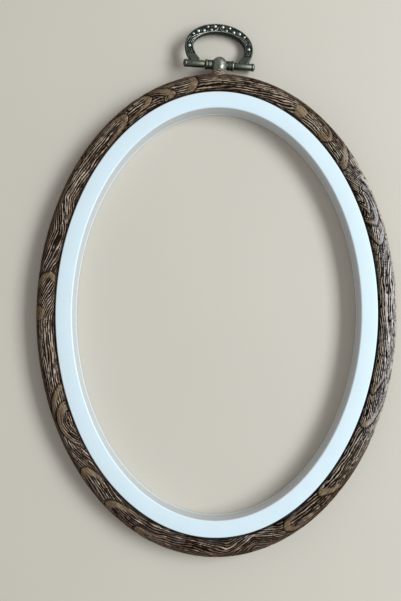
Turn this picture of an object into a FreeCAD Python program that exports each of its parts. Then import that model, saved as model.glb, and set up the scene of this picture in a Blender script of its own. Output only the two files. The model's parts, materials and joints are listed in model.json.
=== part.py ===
"""Oval embroidery hoop with a hanger: a soft outer hoop gripping a stiff inner hoop.

The hoop lies on its back. X runs across it, Y towards the hanger, and Z up
through its open middle. The origin is the centre of the oval on the back plane.
Sizes are in millimetres and angles in degrees.
"""

import FreeCAD, Part
import collections
import math
import os

V = FreeCAD.Vector
ORIGIN = V(0, 0, 0)
ALONG_X, ALONG_Y, ALONG_Z = V(1, 0, 0), V(0, 1, 0), V(0, 0, 1)
FULL_TURN = 360.0
HALF_TURN = 180.0
QUARTER_TURN = 90.0

# The oval where the two hoops meet, which is also the trade size of the hoop
seat_half_x = 64.0
seat_half_y = 88.6
seat_steps = 2          # pairs of arcs in each quarter of the seat's oval
overrun = 1.0           # how far every cutter stands past what it cuts

# Inner hoop: a stiff channel, open at the back, with a lip round its foot
inner_depth = 9.0       # back plane to the flat front
face_width = 6.8
channel_wall = 1.5
face_thickness = 1.7
face_edge_radius = 0.45
lip_reach = 1.2
lip_thickness = 1.4
rib_count = 16
rib_thickness = 1.2
rib_setback = 2.0       # from the back plane to the ribs

# Outer hoop: one soft band, half round outside, with a flat back
fabric_gap = 0.3        # room for the cloth between the hoops
band_width = 8.2
crown_rise = 1.4        # crown above the inner hoop's front
shoulder_drop = 0.7     # inner shoulder below the inner hoop's front

# Boss of the outer hoop, under the hanger's post
boss_rise = 1.2         # boss above the band's outer edge
boss_radius = 3.2
boss_flare = 0.9        # how much wider the boss is at its root
boss_root = 2.6         # how deep the boss starts inside the band
boss_edge_radius = 0.45

# Post: a ball and neck on a screw shank, with a flanged sleeve on each side
pin_rise = 3.6          # pin's axis above the band's outer edge
pin_clearance = 0.06    # running clearance of the pin in the post
ball_radius = 2.85
ball_offset = 1.1       # ball's centre beyond the pin's axis
neck_radius = 2.25
neck_foot_gap = 0.02    # between the neck's foot and the boss
sleeve_radius = 1.85
flange_radius = 2.0
flange_length = 0.9
flange_chamfer = 0.2
post_half_length = 5.9
shank_radius = 1.2
shank_length = 6.4      # from the pin's axis
shank_point = 1.2       # length of the shank's cone
shank_clearance = 0.02
post_turn = 9.0         # degrees that the post stands turned in its boss

# Pin, and the knuckles of the bail that it passes through
pin_radius = 0.8
pin_head_radius = 1.1
pin_head_height = 0.3
knuckle_gap = 0.35      # between the bail's knuckles and the post
knuckle_radius = 1.5
knuckle_overhang = 0.35 # how far the knuckles stand past the bail's widest place
knuckle_rim = 0.15      # raised rim at each knuckle's outer end
knuckle_rim_length = 0.9

# Bail: an oval ring, longer below than above, cut away round the post
bail_half_x = 14.1
bail_half_y = 10.4      # from the oval's widest place to its top
bail_low_half_y = 12.0  # from the oval's widest place to where its low half would end
pin_share = 0.633       # of bail_low_half_y, from the widest place to the pin
bail_side_width = 3.4
bail_top_width = 3.8
bail_thickness = 2.4
bail_edge_bevel = 0.3
foot_inset = 2.0        # the feet start this far outside the knuckles' inner ends
rim_width = 0.5
recess_depth = 0.45
recess_end = 112.0      # degrees from the top where the recess stops
bead_radius = 0.74
small_bead_radius = 0.52
table_clearance = 0.3   # bail above the table that the hoop lies on

# Beads on one side of the bail: degrees from the top, share of the way across
# the ring from its inner edge, and whether the bead is a full-sized one
bead_shares = [
    (7.0, 0.66, True),
    (14.8, 0.31, False),
    (20.0, 0.72, False),
    (29.8, 0.38, True),
    (41.5, 0.58, True),
    (54.0, 0.65, False),
    (88.0, 0.48, True),
]

# What follows from the sizes above
crown_height = inner_depth + crown_rise
pin_height = crown_height / 2
band_outer = fabric_gap + band_width
band_edge_y = seat_half_y + band_outer
post_centre = V(0, band_edge_y + pin_rise, pin_height)
knuckle_start = post_half_length + knuckle_gap
knuckle_end = bail_half_x + knuckle_overhang
knuckle_length = knuckle_end - knuckle_start
bail_centre = V(0, bail_low_half_y * pin_share, 0)
bail_inner_x = bail_half_x - bail_side_width
bail_inner_y = bail_half_y - bail_top_width
bail_low_inner_y = bail_low_half_y - bail_side_width

# An arc of an oval: its centre, its radius, and the degrees where it starts and
# stops, counted anticlockwise from +X
Arc = collections.namedtuple("Arc", "centre radius start stop")


def arc_from(start, way, end):
    """The arc that leaves start along way, turns left and reaches end."""
    left = V(-way.y, way.x, 0)
    chord = end - start
    radius = chord.dot(chord) / (2 * chord.dot(left))
    centre = start + left * radius
    first = math.degrees(math.atan2(start.y - centre.y, start.x - centre.x))
    last = math.degrees(math.atan2(end.y - centre.y, end.x - centre.x))
    return Arc(centre, radius, first, last)


def quarter_arcs(half_x, half_y, steps):
    """An ellipse's first quarter, from +X to +Y, as pairs of arcs that flow on."""
    knots = []
    for number in range(steps + 1):
        turn = math.radians(QUARTER_TURN * number / steps)
        point = V(half_x * math.cos(turn), half_y * math.sin(turn), 0)
        way = V(-half_x * math.sin(turn), half_y * math.cos(turn), 0)
        knots.append((point, way.normalize()))
    arcs = []
    for (start, leaving), (end, arriving) in zip(knots, knots[1:]):
        # the two arcs meet where their tangents from both ends are equally long
        chord = end - start
        along = chord.dot(leaving + arriving)
        bend = 2 * (1 - leaving.dot(arriving))
        tangent = (math.sqrt(along * along + bend * chord.dot(chord)) - along) / bend
        first_corner = start + leaving * tangent
        last_corner = end - arriving * tangent
        meeting = (first_corner + last_corner) / 2
        arcs.append(arc_from(start, leaving, meeting))
        arcs.append(arc_from(meeting, (last_corner - first_corner).normalize(), end))
    return arcs


def oval_arcs(half_x, half_y, low_half_y, steps):
    """A closed oval of arcs, anticlockwise from +X, whose low half may be longer."""
    high = quarter_arcs(half_x, half_y, steps)
    low = quarter_arcs(half_x, low_half_y, steps)
    arcs = list(high)
    for arc in reversed(high):
        centre = V(-arc.centre.x, arc.centre.y, 0)
        arcs.append(Arc(centre, arc.radius, HALF_TURN - arc.stop, HALF_TURN - arc.start))
    for arc in low:
        arcs.append(
            Arc(-arc.centre, arc.radius, HALF_TURN + arc.start, HALF_TURN + arc.stop)
        )
    for arc in reversed(low):
        centre = V(arc.centre.x, -arc.centre.y, 0)
        arcs.append(Arc(centre, arc.radius, FULL_TURN - arc.stop, FULL_TURN - arc.start))
    return arcs


def arc_point(arc, degrees, outwards, height):
    """A point at an angle of an arc, so far outside it and so high."""
    angle = math.radians(degrees)
    reach = arc.radius + outwards
    return arc.centre + V(reach * math.cos(angle), reach * math.sin(angle), height)


def oval_block(arcs, outwards, bottom, top, centre=ORIGIN):
    """An upright block on an oval of arcs, grown by so much all round."""
    edges = []
    for arc in arcs:
        middle = (arc.start + arc.stop) / 2
        ends = [
            centre + arc_point(arc, degrees, outwards, bottom)
            for degrees in (arc.start, middle, arc.stop)
        ]
        edges.append(Part.Arc(*ends).toShape())
    return Part.Face(Part.Wire(edges)).extrude(ALONG_Z * (top - bottom))


def seat_wall(outer_growth, inner_growth, bottom, top):
    """A ring between two ovals, each grown by so much from the seat's oval."""
    arcs = oval_arcs(seat_half_x, seat_half_y, seat_half_y, seat_steps)
    return oval_block(arcs, outer_growth, bottom, top).cut(
        oval_block(arcs, inner_growth, bottom - overrun, top + overrun)
    )


def level_edges(shape, height):
    """The edges of a shape that lie level at one height."""
    slack = overrun / 1000
    return [
        edge for edge in shape.Edges
        if all(abs(point.z - height) < slack for point in edge.discretize(5))
    ]


def make_inner_hoop():
    """The stiff channel, with cross ribs inside it and a lip round its foot."""
    inner_edge = -face_width
    hoop = seat_wall(0, inner_edge, 0, inner_depth)
    hoop = hoop.makeFillet(face_edge_radius, level_edges(hoop, inner_depth))
    hollow = seat_wall(
        -channel_wall,
        inner_edge + channel_wall,
        -overrun,
        inner_depth - face_thickness,
    )
    lip = seat_wall(lip_reach, -channel_wall / 2, 0, lip_thickness)
    # each rib is a stretch of a wall that reaches half into the channel's walls
    rib_space = seat_wall(
        -channel_wall / 2,
        inner_edge + channel_wall / 2,
        rib_setback,
        inner_depth - face_thickness / 2,
    )
    blades = []
    for number in range(rib_count):
        # half a step round, so that no rib lies on an axis of the oval
        turn = (number + 0.5) * FULL_TURN / rib_count
        blade = Part.makeBox(
            seat_half_x + seat_half_y,
            rib_thickness,
            inner_depth,
            V(0, -rib_thickness / 2, 0),
        )
        blade.rotate(ORIGIN, ALONG_Z, turn)
        blades.append(blade)
    ribs = rib_space.common(Part.makeCompound(blades))
    return hoop.cut(hollow).fuse([lip] + ribs.Solids).removeSplitter()


def band_section(arc):
    """The outer hoop's section, standing at the start of one arc of the seat."""
    def at(outwards, height):
        return arc_point(arc, arc.start, outwards, height)

    crown_at = band_outer - pin_height
    shoulder = inner_depth - shoulder_drop
    rebate = lip_reach + fabric_gap
    rebate_top = lip_thickness + fabric_gap

    # the crown's inner side is one arc, level at the crown
    run = crown_at - fabric_gap
    drop = crown_height - shoulder
    crown_radius = (run * run + drop * drop) / (2 * drop)
    half_way = math.atan2(run, crown_radius - drop) / 2
    midway = at(
        crown_at - crown_radius * math.sin(half_way),
        crown_height - crown_radius * (1 - math.cos(half_way)),
    )
    corners = [
        at(crown_at, 0),
        at(rebate, 0),
        at(rebate, rebate_top),
        at(fabric_gap, rebate_top),
        at(fabric_gap, shoulder),
    ]
    crown = at(crown_at, crown_height)
    edges = [Part.makeLine(a, b) for a, b in zip(corners, corners[1:])]
    edges.append(Part.Arc(corners[-1], midway, crown).toShape())
    edges.append(Part.Arc(crown, at(band_outer, pin_height), corners[0]).toShape())
    return Part.Face(Part.Wire(edges))


def make_outer_hoop():
    """The soft band, turned round each arc of the seat, with its bored boss."""
    stretches = []
    for arc in oval_arcs(seat_half_x, seat_half_y, seat_half_y, seat_steps):
        section = band_section(arc)
        stretches.append(section.revolve(arc.centre, ALONG_Z, arc.stop - arc.start))
    boss_foot = V(0, band_edge_y - boss_root, pin_height)
    boss = Part.makeCone(
        boss_radius + boss_flare, boss_radius, boss_root + boss_rise, boss_foot, ALONG_Y
    )
    top_edges = [
        edge for edge in boss.Edges
        if isinstance(edge.Curve, Part.Circle)
        and edge.Curve.Center.y > band_edge_y
    ]
    boss = boss.makeFillet(boss_edge_radius, top_edges)
    bore = Part.makeCylinder(
        shank_radius + shank_clearance,
        shank_length + shank_clearance,
        post_centre,
        -ALONG_Y,
    )
    band = stretches[0].fuse(stretches[1:]).removeSplitter()
    return band.fuse(boss).cut(bore)


def hang(shape):
    """Places a piece of the hanger, made round the middle of the pin."""
    shape.rotate(ORIGIN, ALONG_Y, post_turn)
    shape.translate(post_centre)
    return shape


def cross_bore(radius, half_length):
    """The hole along the pin's axis."""
    start = V(-half_length - overrun, 0, 0)
    return Part.makeCylinder(radius, -2 * start.x, start, ALONG_X)


def make_sleeves():
    """The turned cross piece of the post, with a flange at each end."""
    flange_start = post_half_length - flange_length
    side = [
        V(0, sleeve_radius, 0),
        V(flange_start, sleeve_radius, 0),
        V(flange_start, flange_radius, 0),
        V(post_half_length - flange_chamfer, flange_radius, 0),
        V(post_half_length, flange_radius - flange_chamfer, 0),
        V(post_half_length, 0, 0),
    ]
    outline = side + [V(-point.x, point.y, 0) for point in reversed(side[1:])]
    profile = Part.Face(Part.makePolygon(outline + outline[:1]))
    return profile.revolve(ORIGIN, ALONG_X, FULL_TURN)


def make_post():
    """The post: ball, neck and shank in one turned piece, crossed by its sleeves."""
    ball_end = ball_offset - math.sqrt(ball_radius ** 2 - neck_radius ** 2)
    neck_end = boss_rise + neck_foot_gap - pin_rise
    side = [
        V(neck_radius, ball_end, 0),
        V(neck_radius, neck_end, 0),
        V(shank_radius, neck_end, 0),
        V(shank_radius, shank_point - shank_length, 0),
        V(shank_radius / 2, -shank_length, 0),
        V(0, -shank_length, 0),
    ]
    crown = V(0, ball_offset + ball_radius, 0)
    edges = [Part.makeLine(a, b) for a, b in zip(side, side[1:])]
    edges.append(Part.makeLine(side[-1], crown))
    # the bulge is the point of the ball that lies half way down its round side
    half_way = (QUARTER_TURN + math.degrees(math.asin((ball_end - ball_offset) / ball_radius))) / 2
    bulge = V(
        ball_radius * math.cos(math.radians(half_way)),
        ball_offset + ball_radius * math.sin(math.radians(half_way)),
        0,
    )
    edges.append(Part.Arc(crown, bulge, side[0]).toShape())
    profile = Part.Face(Part.Wire(Part.__sortEdges__(edges)))
    turned = profile.revolve(ORIGIN, ALONG_Y, FULL_TURN)
    bore = cross_bore(pin_radius + pin_clearance, post_half_length)
    return hang(turned.fuse(make_sleeves()).cut(bore))


def make_pin():
    """The pin, with a low riveted head on each end."""
    pin = Part.makeCylinder(pin_radius, 2 * knuckle_end, V(-knuckle_end, 0, 0), ALONG_X)
    heads = []
    for way in (-ALONG_X, ALONG_X):
        heads.append(
            Part.makeCone(
                pin_head_radius,
                pin_radius,
                pin_head_height,
                way * knuckle_end,
                way,
            )
        )
    return hang(pin.fuse(heads))


def bail_point(turn, share):
    """A point of the bail's middle plane: degrees from its top, share across."""
    angle = math.radians(turn)
    half_x = bail_inner_x + bail_side_width * share
    half_y = bail_inner_y + bail_top_width * share
    if math.cos(angle) < 0:
        half_y = bail_low_inner_y + bail_side_width * share
    return bail_centre + V(half_x * math.sin(angle), half_y * math.cos(angle), 0)


def bail_ring(inset, bottom, top):
    """The bail's oval ring, with both its edges moved into the ring by inset."""
    outer = oval_arcs(bail_half_x, bail_half_y, bail_low_half_y, 1)
    inner = oval_arcs(bail_inner_x, bail_inner_y, bail_low_inner_y, 1)
    return oval_block(outer, -inset, bottom, top, bail_centre).cut(
        oval_block(inner, inset, bottom - overrun, top + overrun, bail_centre)
    )


def make_recess():
    """What is cut from the bail's front, between its rims, down to its feet."""
    recess = bail_ring(
        rim_width, bail_thickness / 2 - recess_depth, bail_thickness / 2 + overrun
    )
    # the rays through the recess's two ends bound what stays solid below it
    reach = bail_half_x + bail_low_half_y
    right = bail_point(recess_end, 1) - bail_centre
    right = right / right.Length * reach
    left = V(-right.x, right.y, 0)
    below = V(0, -reach, 0)
    corners = [ORIGIN, right, right + below, left + below, left, ORIGIN]
    corners = [bail_centre + corner - ALONG_Z * bail_thickness for corner in corners]
    wedge = Part.Face(Part.makePolygon(corners)).extrude(ALONG_Z * 2 * bail_thickness)
    return recess.cut(wedge)


def make_beads():
    """The cast beads, each half sunk in the floor of the recess."""
    floor = ALONG_Z * (bail_thickness / 2 - recess_depth)
    beads = []
    for turn, share, full_sized in bead_shares:
        radius = bead_radius if full_sized else small_bead_radius
        for side in (-1, 1):
            beads.append(Part.makeSphere(radius, bail_point(side * turn, share) + floor))
    return beads


def make_knuckle(side):
    """One of the bail's two knuckles, with the raised rim at its outer end."""
    way = ALONG_X * side
    tube = Part.makeCylinder(knuckle_radius, knuckle_length, way * knuckle_start, way)
    rim = Part.makeCylinder(
        knuckle_radius + knuckle_rim,
        knuckle_rim_length,
        way * (knuckle_end - knuckle_rim_length),
        way,
    )
    return tube.fuse(rim)


def make_bail():
    """The cast bail: ring, feet, knuckles and beads, drooping to the table."""
    bottom, top = -bail_thickness / 2, bail_thickness / 2
    ring = bail_ring(0, bottom, top)
    edges = level_edges(ring, bottom) + level_edges(ring, top)
    ring = ring.makeChamfer(bail_edge_bevel, edges)
    foot_start = knuckle_start + foot_inset
    window = Part.makeBox(
        2 * foot_start,
        bail_centre.y + overrun,
        bail_thickness + 2 * overrun,
        V(-foot_start, -overrun, bottom - overrun),
    )
    below_pin = Part.makeBox(
        2 * (bail_half_x + overrun),
        bail_low_half_y + overrun,
        bail_thickness + 2 * overrun,
        V(-bail_half_x - overrun, -bail_low_half_y - overrun, bottom - overrun),
    )
    ring = ring.cut([window, below_pin, make_recess()])
    bail = ring.fuse([make_knuckle(-1), make_knuckle(1)] + make_beads())
    bail = bail.cut(cross_bore(pin_radius, knuckle_end)).removeSplitter()
    bail.rotate(ORIGIN, ALONG_X, -droop_angle())
    return hang(bail)


def droop_angle():
    """Degrees below level at which the bail, turned with its post, meets the table.

    The lowest point of the turned oval lies hypot(tilt, lift * s) + lever * s
    below the pin, where s is the sine of the angle, and that is set to drop.
    """
    turn = math.radians(post_turn)
    tilt = bail_half_x * math.sin(turn)
    lift = bail_half_y * math.cos(turn)
    lever = bail_centre.y * math.cos(turn)
    drop = pin_height - bail_thickness / 2 - table_clearance
    spread = lift * lift - lever * lever
    root = math.sqrt((drop * lever) ** 2 + spread * (drop * drop - tilt * tilt))
    return math.degrees(math.asin((root - drop * lever) / spread))


def main():
    """Writes each piece to its own file."""
    pieces = {
        "inner_hoop": make_inner_hoop,
        "outer_hoop": make_outer_hoop,
        "hanger_post": make_post,
        "hinge_pin": make_pin,
        "hanger_bail": make_bail,
    }
    os.makedirs("parts", exist_ok=True)
    for name, make in pieces.items():
        shape = make()
        shape.exportStep("parts/" + name + ".step")
        print(name, len(shape.Solids), round(shape.Volume, 2), shape.isValid())
    print("droop", round(droop_angle(), 3), "pin's middle", post_centre)


if __name__ == "__main__":
    main()
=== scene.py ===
"""The oval embroidery hoop, dressed: moulded bark, white plastic and antique metal.

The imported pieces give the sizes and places. The bark band, the white hoop and the
hanger are rebuilt here with their fine forms, and each rides on the body that it
belongs to. Lengths in this file are in millimetres until a mesh is made, and then
they are in metres.
"""

import json
import logging
import math
from dataclasses import dataclass, field
from enum import Enum

import bpy
import numpy as np
from mathutils import Euler, Matrix, Vector


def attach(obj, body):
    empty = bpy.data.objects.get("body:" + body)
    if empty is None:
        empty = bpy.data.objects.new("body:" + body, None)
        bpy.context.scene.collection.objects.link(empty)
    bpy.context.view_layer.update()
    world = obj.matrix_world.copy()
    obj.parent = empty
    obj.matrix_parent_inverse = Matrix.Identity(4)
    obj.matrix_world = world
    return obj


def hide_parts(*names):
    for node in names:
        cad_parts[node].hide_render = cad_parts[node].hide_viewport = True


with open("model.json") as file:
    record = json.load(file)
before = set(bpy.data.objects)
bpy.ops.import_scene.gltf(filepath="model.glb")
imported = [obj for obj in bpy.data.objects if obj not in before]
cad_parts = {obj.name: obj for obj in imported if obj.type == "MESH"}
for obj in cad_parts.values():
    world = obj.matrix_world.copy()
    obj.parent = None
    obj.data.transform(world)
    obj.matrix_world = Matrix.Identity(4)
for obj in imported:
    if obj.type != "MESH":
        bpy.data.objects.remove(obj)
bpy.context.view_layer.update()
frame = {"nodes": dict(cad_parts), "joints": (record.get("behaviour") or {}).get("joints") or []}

MM = 0.001
FULL_TURN = 2 * math.pi
# the bark's tones between which its colour runs from dark to light
TONE_SPAN = (0.15, 0.85)
Colour = tuple[float, float, float]
Span = tuple[float, float]
Table = list[tuple[float, float]]
log = logging.getLogger("hoop")


class Slot(Enum):
    """The record's material slots."""

    PLASTIC = "white_plastic"
    VINYL = "woodgrain_vinyl"
    METAL = "antique_metal"


class Body(Enum):
    """The record's moving bodies."""

    INNER = "inner_ring"
    OUTER = "outer_ring"
    BAIL = "bail"


def blend_step(value: np.ndarray, low: float, high: float) -> np.ndarray:
    """A smooth step.

    Args:
        value: what is tested.
        low: where the step starts.
        high: where the step ends; it may lie below low.

    Returns:
        0 before low, 1 after high, and a smooth rise between them.
    """
    t = np.clip((value - low) / (high - low), 0.0, 1.0)
    return t * t * (3 - 2 * t)


def mix(first: np.ndarray, second: np.ndarray, share: np.ndarray) -> np.ndarray:
    """The first value where share is 0 and the second where it is 1."""
    return first + (second - first) * share


def plateau(value: np.ndarray, rise: Span, fall: Span) -> np.ndarray:
    """A smooth rise and a smooth fall.

    Args:
        value: what is tested.
        rise: where the rise starts and ends.
        fall: where the fall starts and ends.

    Returns:
        1 between the rise and the fall, and 0 outside them.
    """
    return blend_step(value, *rise) * (1 - blend_step(value, *fall))


def read_table(table: Table, places: np.ndarray) -> np.ndarray:
    """What a table of places and values gives at places between its rows."""
    stops = np.array(table, float)
    return np.interp(places, stops[:, 0], stops[:, 1])


def add_object(name: str, data: bpy.types.ID) -> bpy.types.Object:
    """A new object in the scene."""
    thing = bpy.data.objects.new(name, data)
    bpy.context.scene.collection.objects.link(thing)
    return thing


@dataclass
class RingNoise:
    """Smooth noise on a band that closes on itself.

    Args:
        length: the band's length round the ring.
        seed: what the random values start from.
    """

    length: float
    seed: int
    rows: int = 64
    fewest_columns: int = 4

    def at(self, along: np.ndarray, across: np.ndarray, cell: Span) -> np.ndarray:
        """Samples the noise.

        Args:
            along: places along the band.
            across: places across the band.
            cell: the size of a cell along and across.

        Returns:
            Values from -1 to 1.
        """
        columns = max(self.fewest_columns, round(self.length / cell[0]))
        rows = self.rows
        # each size of cell draws its own values
        seed = [self.seed, columns, round(cell[1] * 1000)]
        table = np.random.default_rng(seed).uniform(-1, 1, (columns, rows))
        x = np.mod(along, self.length) / self.length * columns
        y = across / cell[1] + rows / 2
        x0, y0 = np.floor(x).astype(int), np.floor(y).astype(int)
        fx, fy = blend_step(x - x0, 0, 1), blend_step(y - y0, 0, 1)
        x0, x1 = x0 % columns, (x0 + 1) % columns
        y0, y1 = y0 % rows, (y0 + 1) % rows
        low = mix(table[x0, y0], table[x1, y0], fx)
        high = mix(table[x0, y1], table[x1, y1], fx)
        return mix(low, high, fy)


@dataclass
class SeatOval:
    """The oval where the two hoops meet.

    Args:
        half_x: half the oval's width.
        half_y: half the oval's length.
        grain_line: how far outside it distances along the band are measured.
    """

    half_x: float
    half_y: float
    grain_line: float = 4.4
    turns: np.ndarray = field(init=False)
    lengths: np.ndarray = field(init=False)

    def __post_init__(self) -> None:
        """Measures the grain line once, clockwise from the hanger."""
        self.turns = np.linspace(0, FULL_TURN, 8001)
        line = self.point(self.turns, np.full(self.turns.shape, self.grain_line))
        steps = np.hypot(*np.diff(line, axis=0).T)
        self.lengths = np.concatenate([[0.0], np.cumsum(steps)])

    @property
    def length(self) -> float:
        """The grain line's length."""
        return float(self.lengths[-1])

    def turn_at(self, along: np.ndarray) -> np.ndarray:
        """The oval's angle at distances along the grain line."""
        return np.interp(np.mod(along, self.length), self.lengths, self.turns)

    def outward(self, turn: np.ndarray) -> np.ndarray:
        """The oval's outward directions, as pairs of X and Y."""
        way = np.stack([np.sin(turn) / self.half_x, np.cos(turn) / self.half_y], -1)
        return way / np.linalg.norm(way, axis=-1, keepdims=True)

    def point(self, turn: np.ndarray, outwards: np.ndarray) -> np.ndarray:
        """Points so far outside the oval, as pairs of X and Y."""
        seat = np.stack([self.half_x * np.sin(turn), self.half_y * np.cos(turn)], -1)
        return seat + self.outward(turn) * np.asarray(outwards)[..., None]

    def ring(self, turn: np.ndarray, outwards: float, height: float) -> np.ndarray:
        """A ring of points round the oval, all at one height."""
        edge = self.point(turn, np.full(turn.shape, outwards))
        return np.concatenate([edge, np.full((len(turn), 1), height)], -1)


@dataclass
class MeshParts:
    """Vertices and faces that are gathered into one piece, and how polished each is."""

    points: list = field(default_factory=list)
    polish: list = field(default_factory=list)
    faces: list = field(default_factory=list)

    def count(self) -> int:
        """How many vertices there are so far."""
        return sum(len(block) for block in self.points)

    def grid(
        self,
        points: np.ndarray,
        close_first: bool,
        close_second: bool,
        polish: float | np.ndarray = 0.0,
    ) -> None:
        """Adds a net of quads.

        Args:
            points: an array of rows by columns by 3.
            close_first: whether the last row joins the first.
            close_second: whether the last column joins the first.
            polish: how rubbed bright the metal is there, from 0 to 1.
        """
        base = self.count()
        rows, columns = points.shape[:2]
        first = np.arange(rows if close_first else rows - 1)
        second = np.arange(columns if close_second else columns - 1)
        i, j = np.meshgrid(first, second, indexing="ij")
        i1, j1 = (i + 1) % rows, (j + 1) % columns
        corners = (i * columns + j, i1 * columns + j, i1 * columns + j1, i * columns + j1)
        quads = np.stack(corners, -1).reshape(-1, 4) + base
        self.points.append(points.reshape(-1, 3))
        self.polish.append(np.broadcast_to(polish, (rows, columns)).reshape(-1))
        self.faces.extend(map(tuple, quads.tolist()))

    def cap(self, ring: list[int]) -> None:
        """Closes a ring of vertices with one face."""
        self.faces.append(tuple(ring))

    def lathe(
        self,
        profile: list[tuple[float, float]],
        sides: int,
        place: Matrix,
        polish: float | np.ndarray = 0.0,
    ) -> None:
        """Adds a turned piece about its own X axis, closed at both ends.

        Args:
            profile: pairs of place along the axis and radius.
            sides: how many sides the piece has.
            place: where the piece goes.
            polish: how rubbed bright it is, for all of it or for each place.
        """
        angles = -np.arange(sides) * FULL_TURN / sides
        x = np.array([p[0] for p in profile])[:, None] + np.zeros(sides)
        r = np.array([p[1] for p in profile])[:, None]
        net = np.stack([x, r * np.cos(angles), r * np.sin(angles)], -1)
        start = self.count()
        self.grid(placed(net, place), False, True, np.reshape(polish, (-1, 1)))
        last = start + (len(profile) - 1) * sides
        self.cap(list(range(start, start + sides)))
        self.cap(list(range(last, last + sides))[::-1])

    def build(self, name: str, sharp_degrees: float) -> bpy.types.Object:
        """Makes the object.

        Args:
            name: the piece's name.
            sharp_degrees: edges that turn by more than this stay crisp.

        Returns:
            The new object, in metres.
        """
        mesh = bpy.data.meshes.new(name)
        points = np.concatenate(self.points) * MM
        mesh.from_pydata(points.tolist(), [], self.faces)
        mesh.update()
        mesh.polygons.foreach_set("use_smooth", [True] * len(mesh.polygons))
        mesh.set_sharp_from_angle(angle=math.radians(sharp_degrees))
        layer = mesh.attributes.new("polish", "FLOAT", "POINT")
        layer.data.foreach_set("value", np.concatenate(self.polish).astype(np.float32))
        log.info("%s: %d faces", name, len(mesh.polygons))
        return add_object(name, mesh)


def placed(points: np.ndarray, place: Matrix) -> np.ndarray:
    """The points, moved and turned to their place."""
    turn = np.array(place.to_3x3())
    return points @ turn.T + np.array(place.translation)


def settle(piece: bpy.types.Object, body: Body) -> bpy.types.Object:
    """Lets a piece ride on its body."""
    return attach(piece, body.value)


def smooth_line(knots: np.ndarray, per_span: int) -> np.ndarray:
    """A smooth line through given points.

    Args:
        knots: an array of points by values.
        per_span: how many points the line gets between two knots.

    Returns:
        Points along a Catmull-Rom line, with the same values at each.
    """
    padded = np.concatenate([[2 * knots[0] - knots[1]], knots, [2 * knots[-1] - knots[-2]]])
    t = (np.arange(per_span) / per_span)[:, None]
    spans = []
    for a, b, c, d in zip(padded, padded[1:], padded[2:], padded[3:]):
        spans.append(
            0.5 * (2 * b + (c - a) * t + (2 * a - 5 * b + 4 * c - d) * t ** 2
                   + (3 * b - a - 3 * c + d) * t ** 3)
        )
    return np.concatenate(spans + [knots[-1:]])


@dataclass
class Flake:
    """A flake of bark that lies over the next one, with a rounded nose.

    Args:
        rim: places of its rim, from the outer side round the nose to the inner
            side: distance along the band, distance across its skin, and the width
            of the smooth rim there.
        nested: how deep inside the rim the grain still follows it.
        hollow: the dip behind the nose, darkened with painted shade: along, across, and half its
            length.
    """

    rim: list[tuple[float, float, float]]
    nested: float = 0.0
    hollow: tuple[float, float, float] | None = None


@dataclass
class Knot:
    """A smooth round knot: where it is, and half its length and width."""

    along: float
    across: float
    half_length: float
    half_width: float


@dataclass
class Streak:
    """A bold ridge of the grain: places along and across, its width and lightness."""

    line: Table
    width: float
    lightness: float


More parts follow.
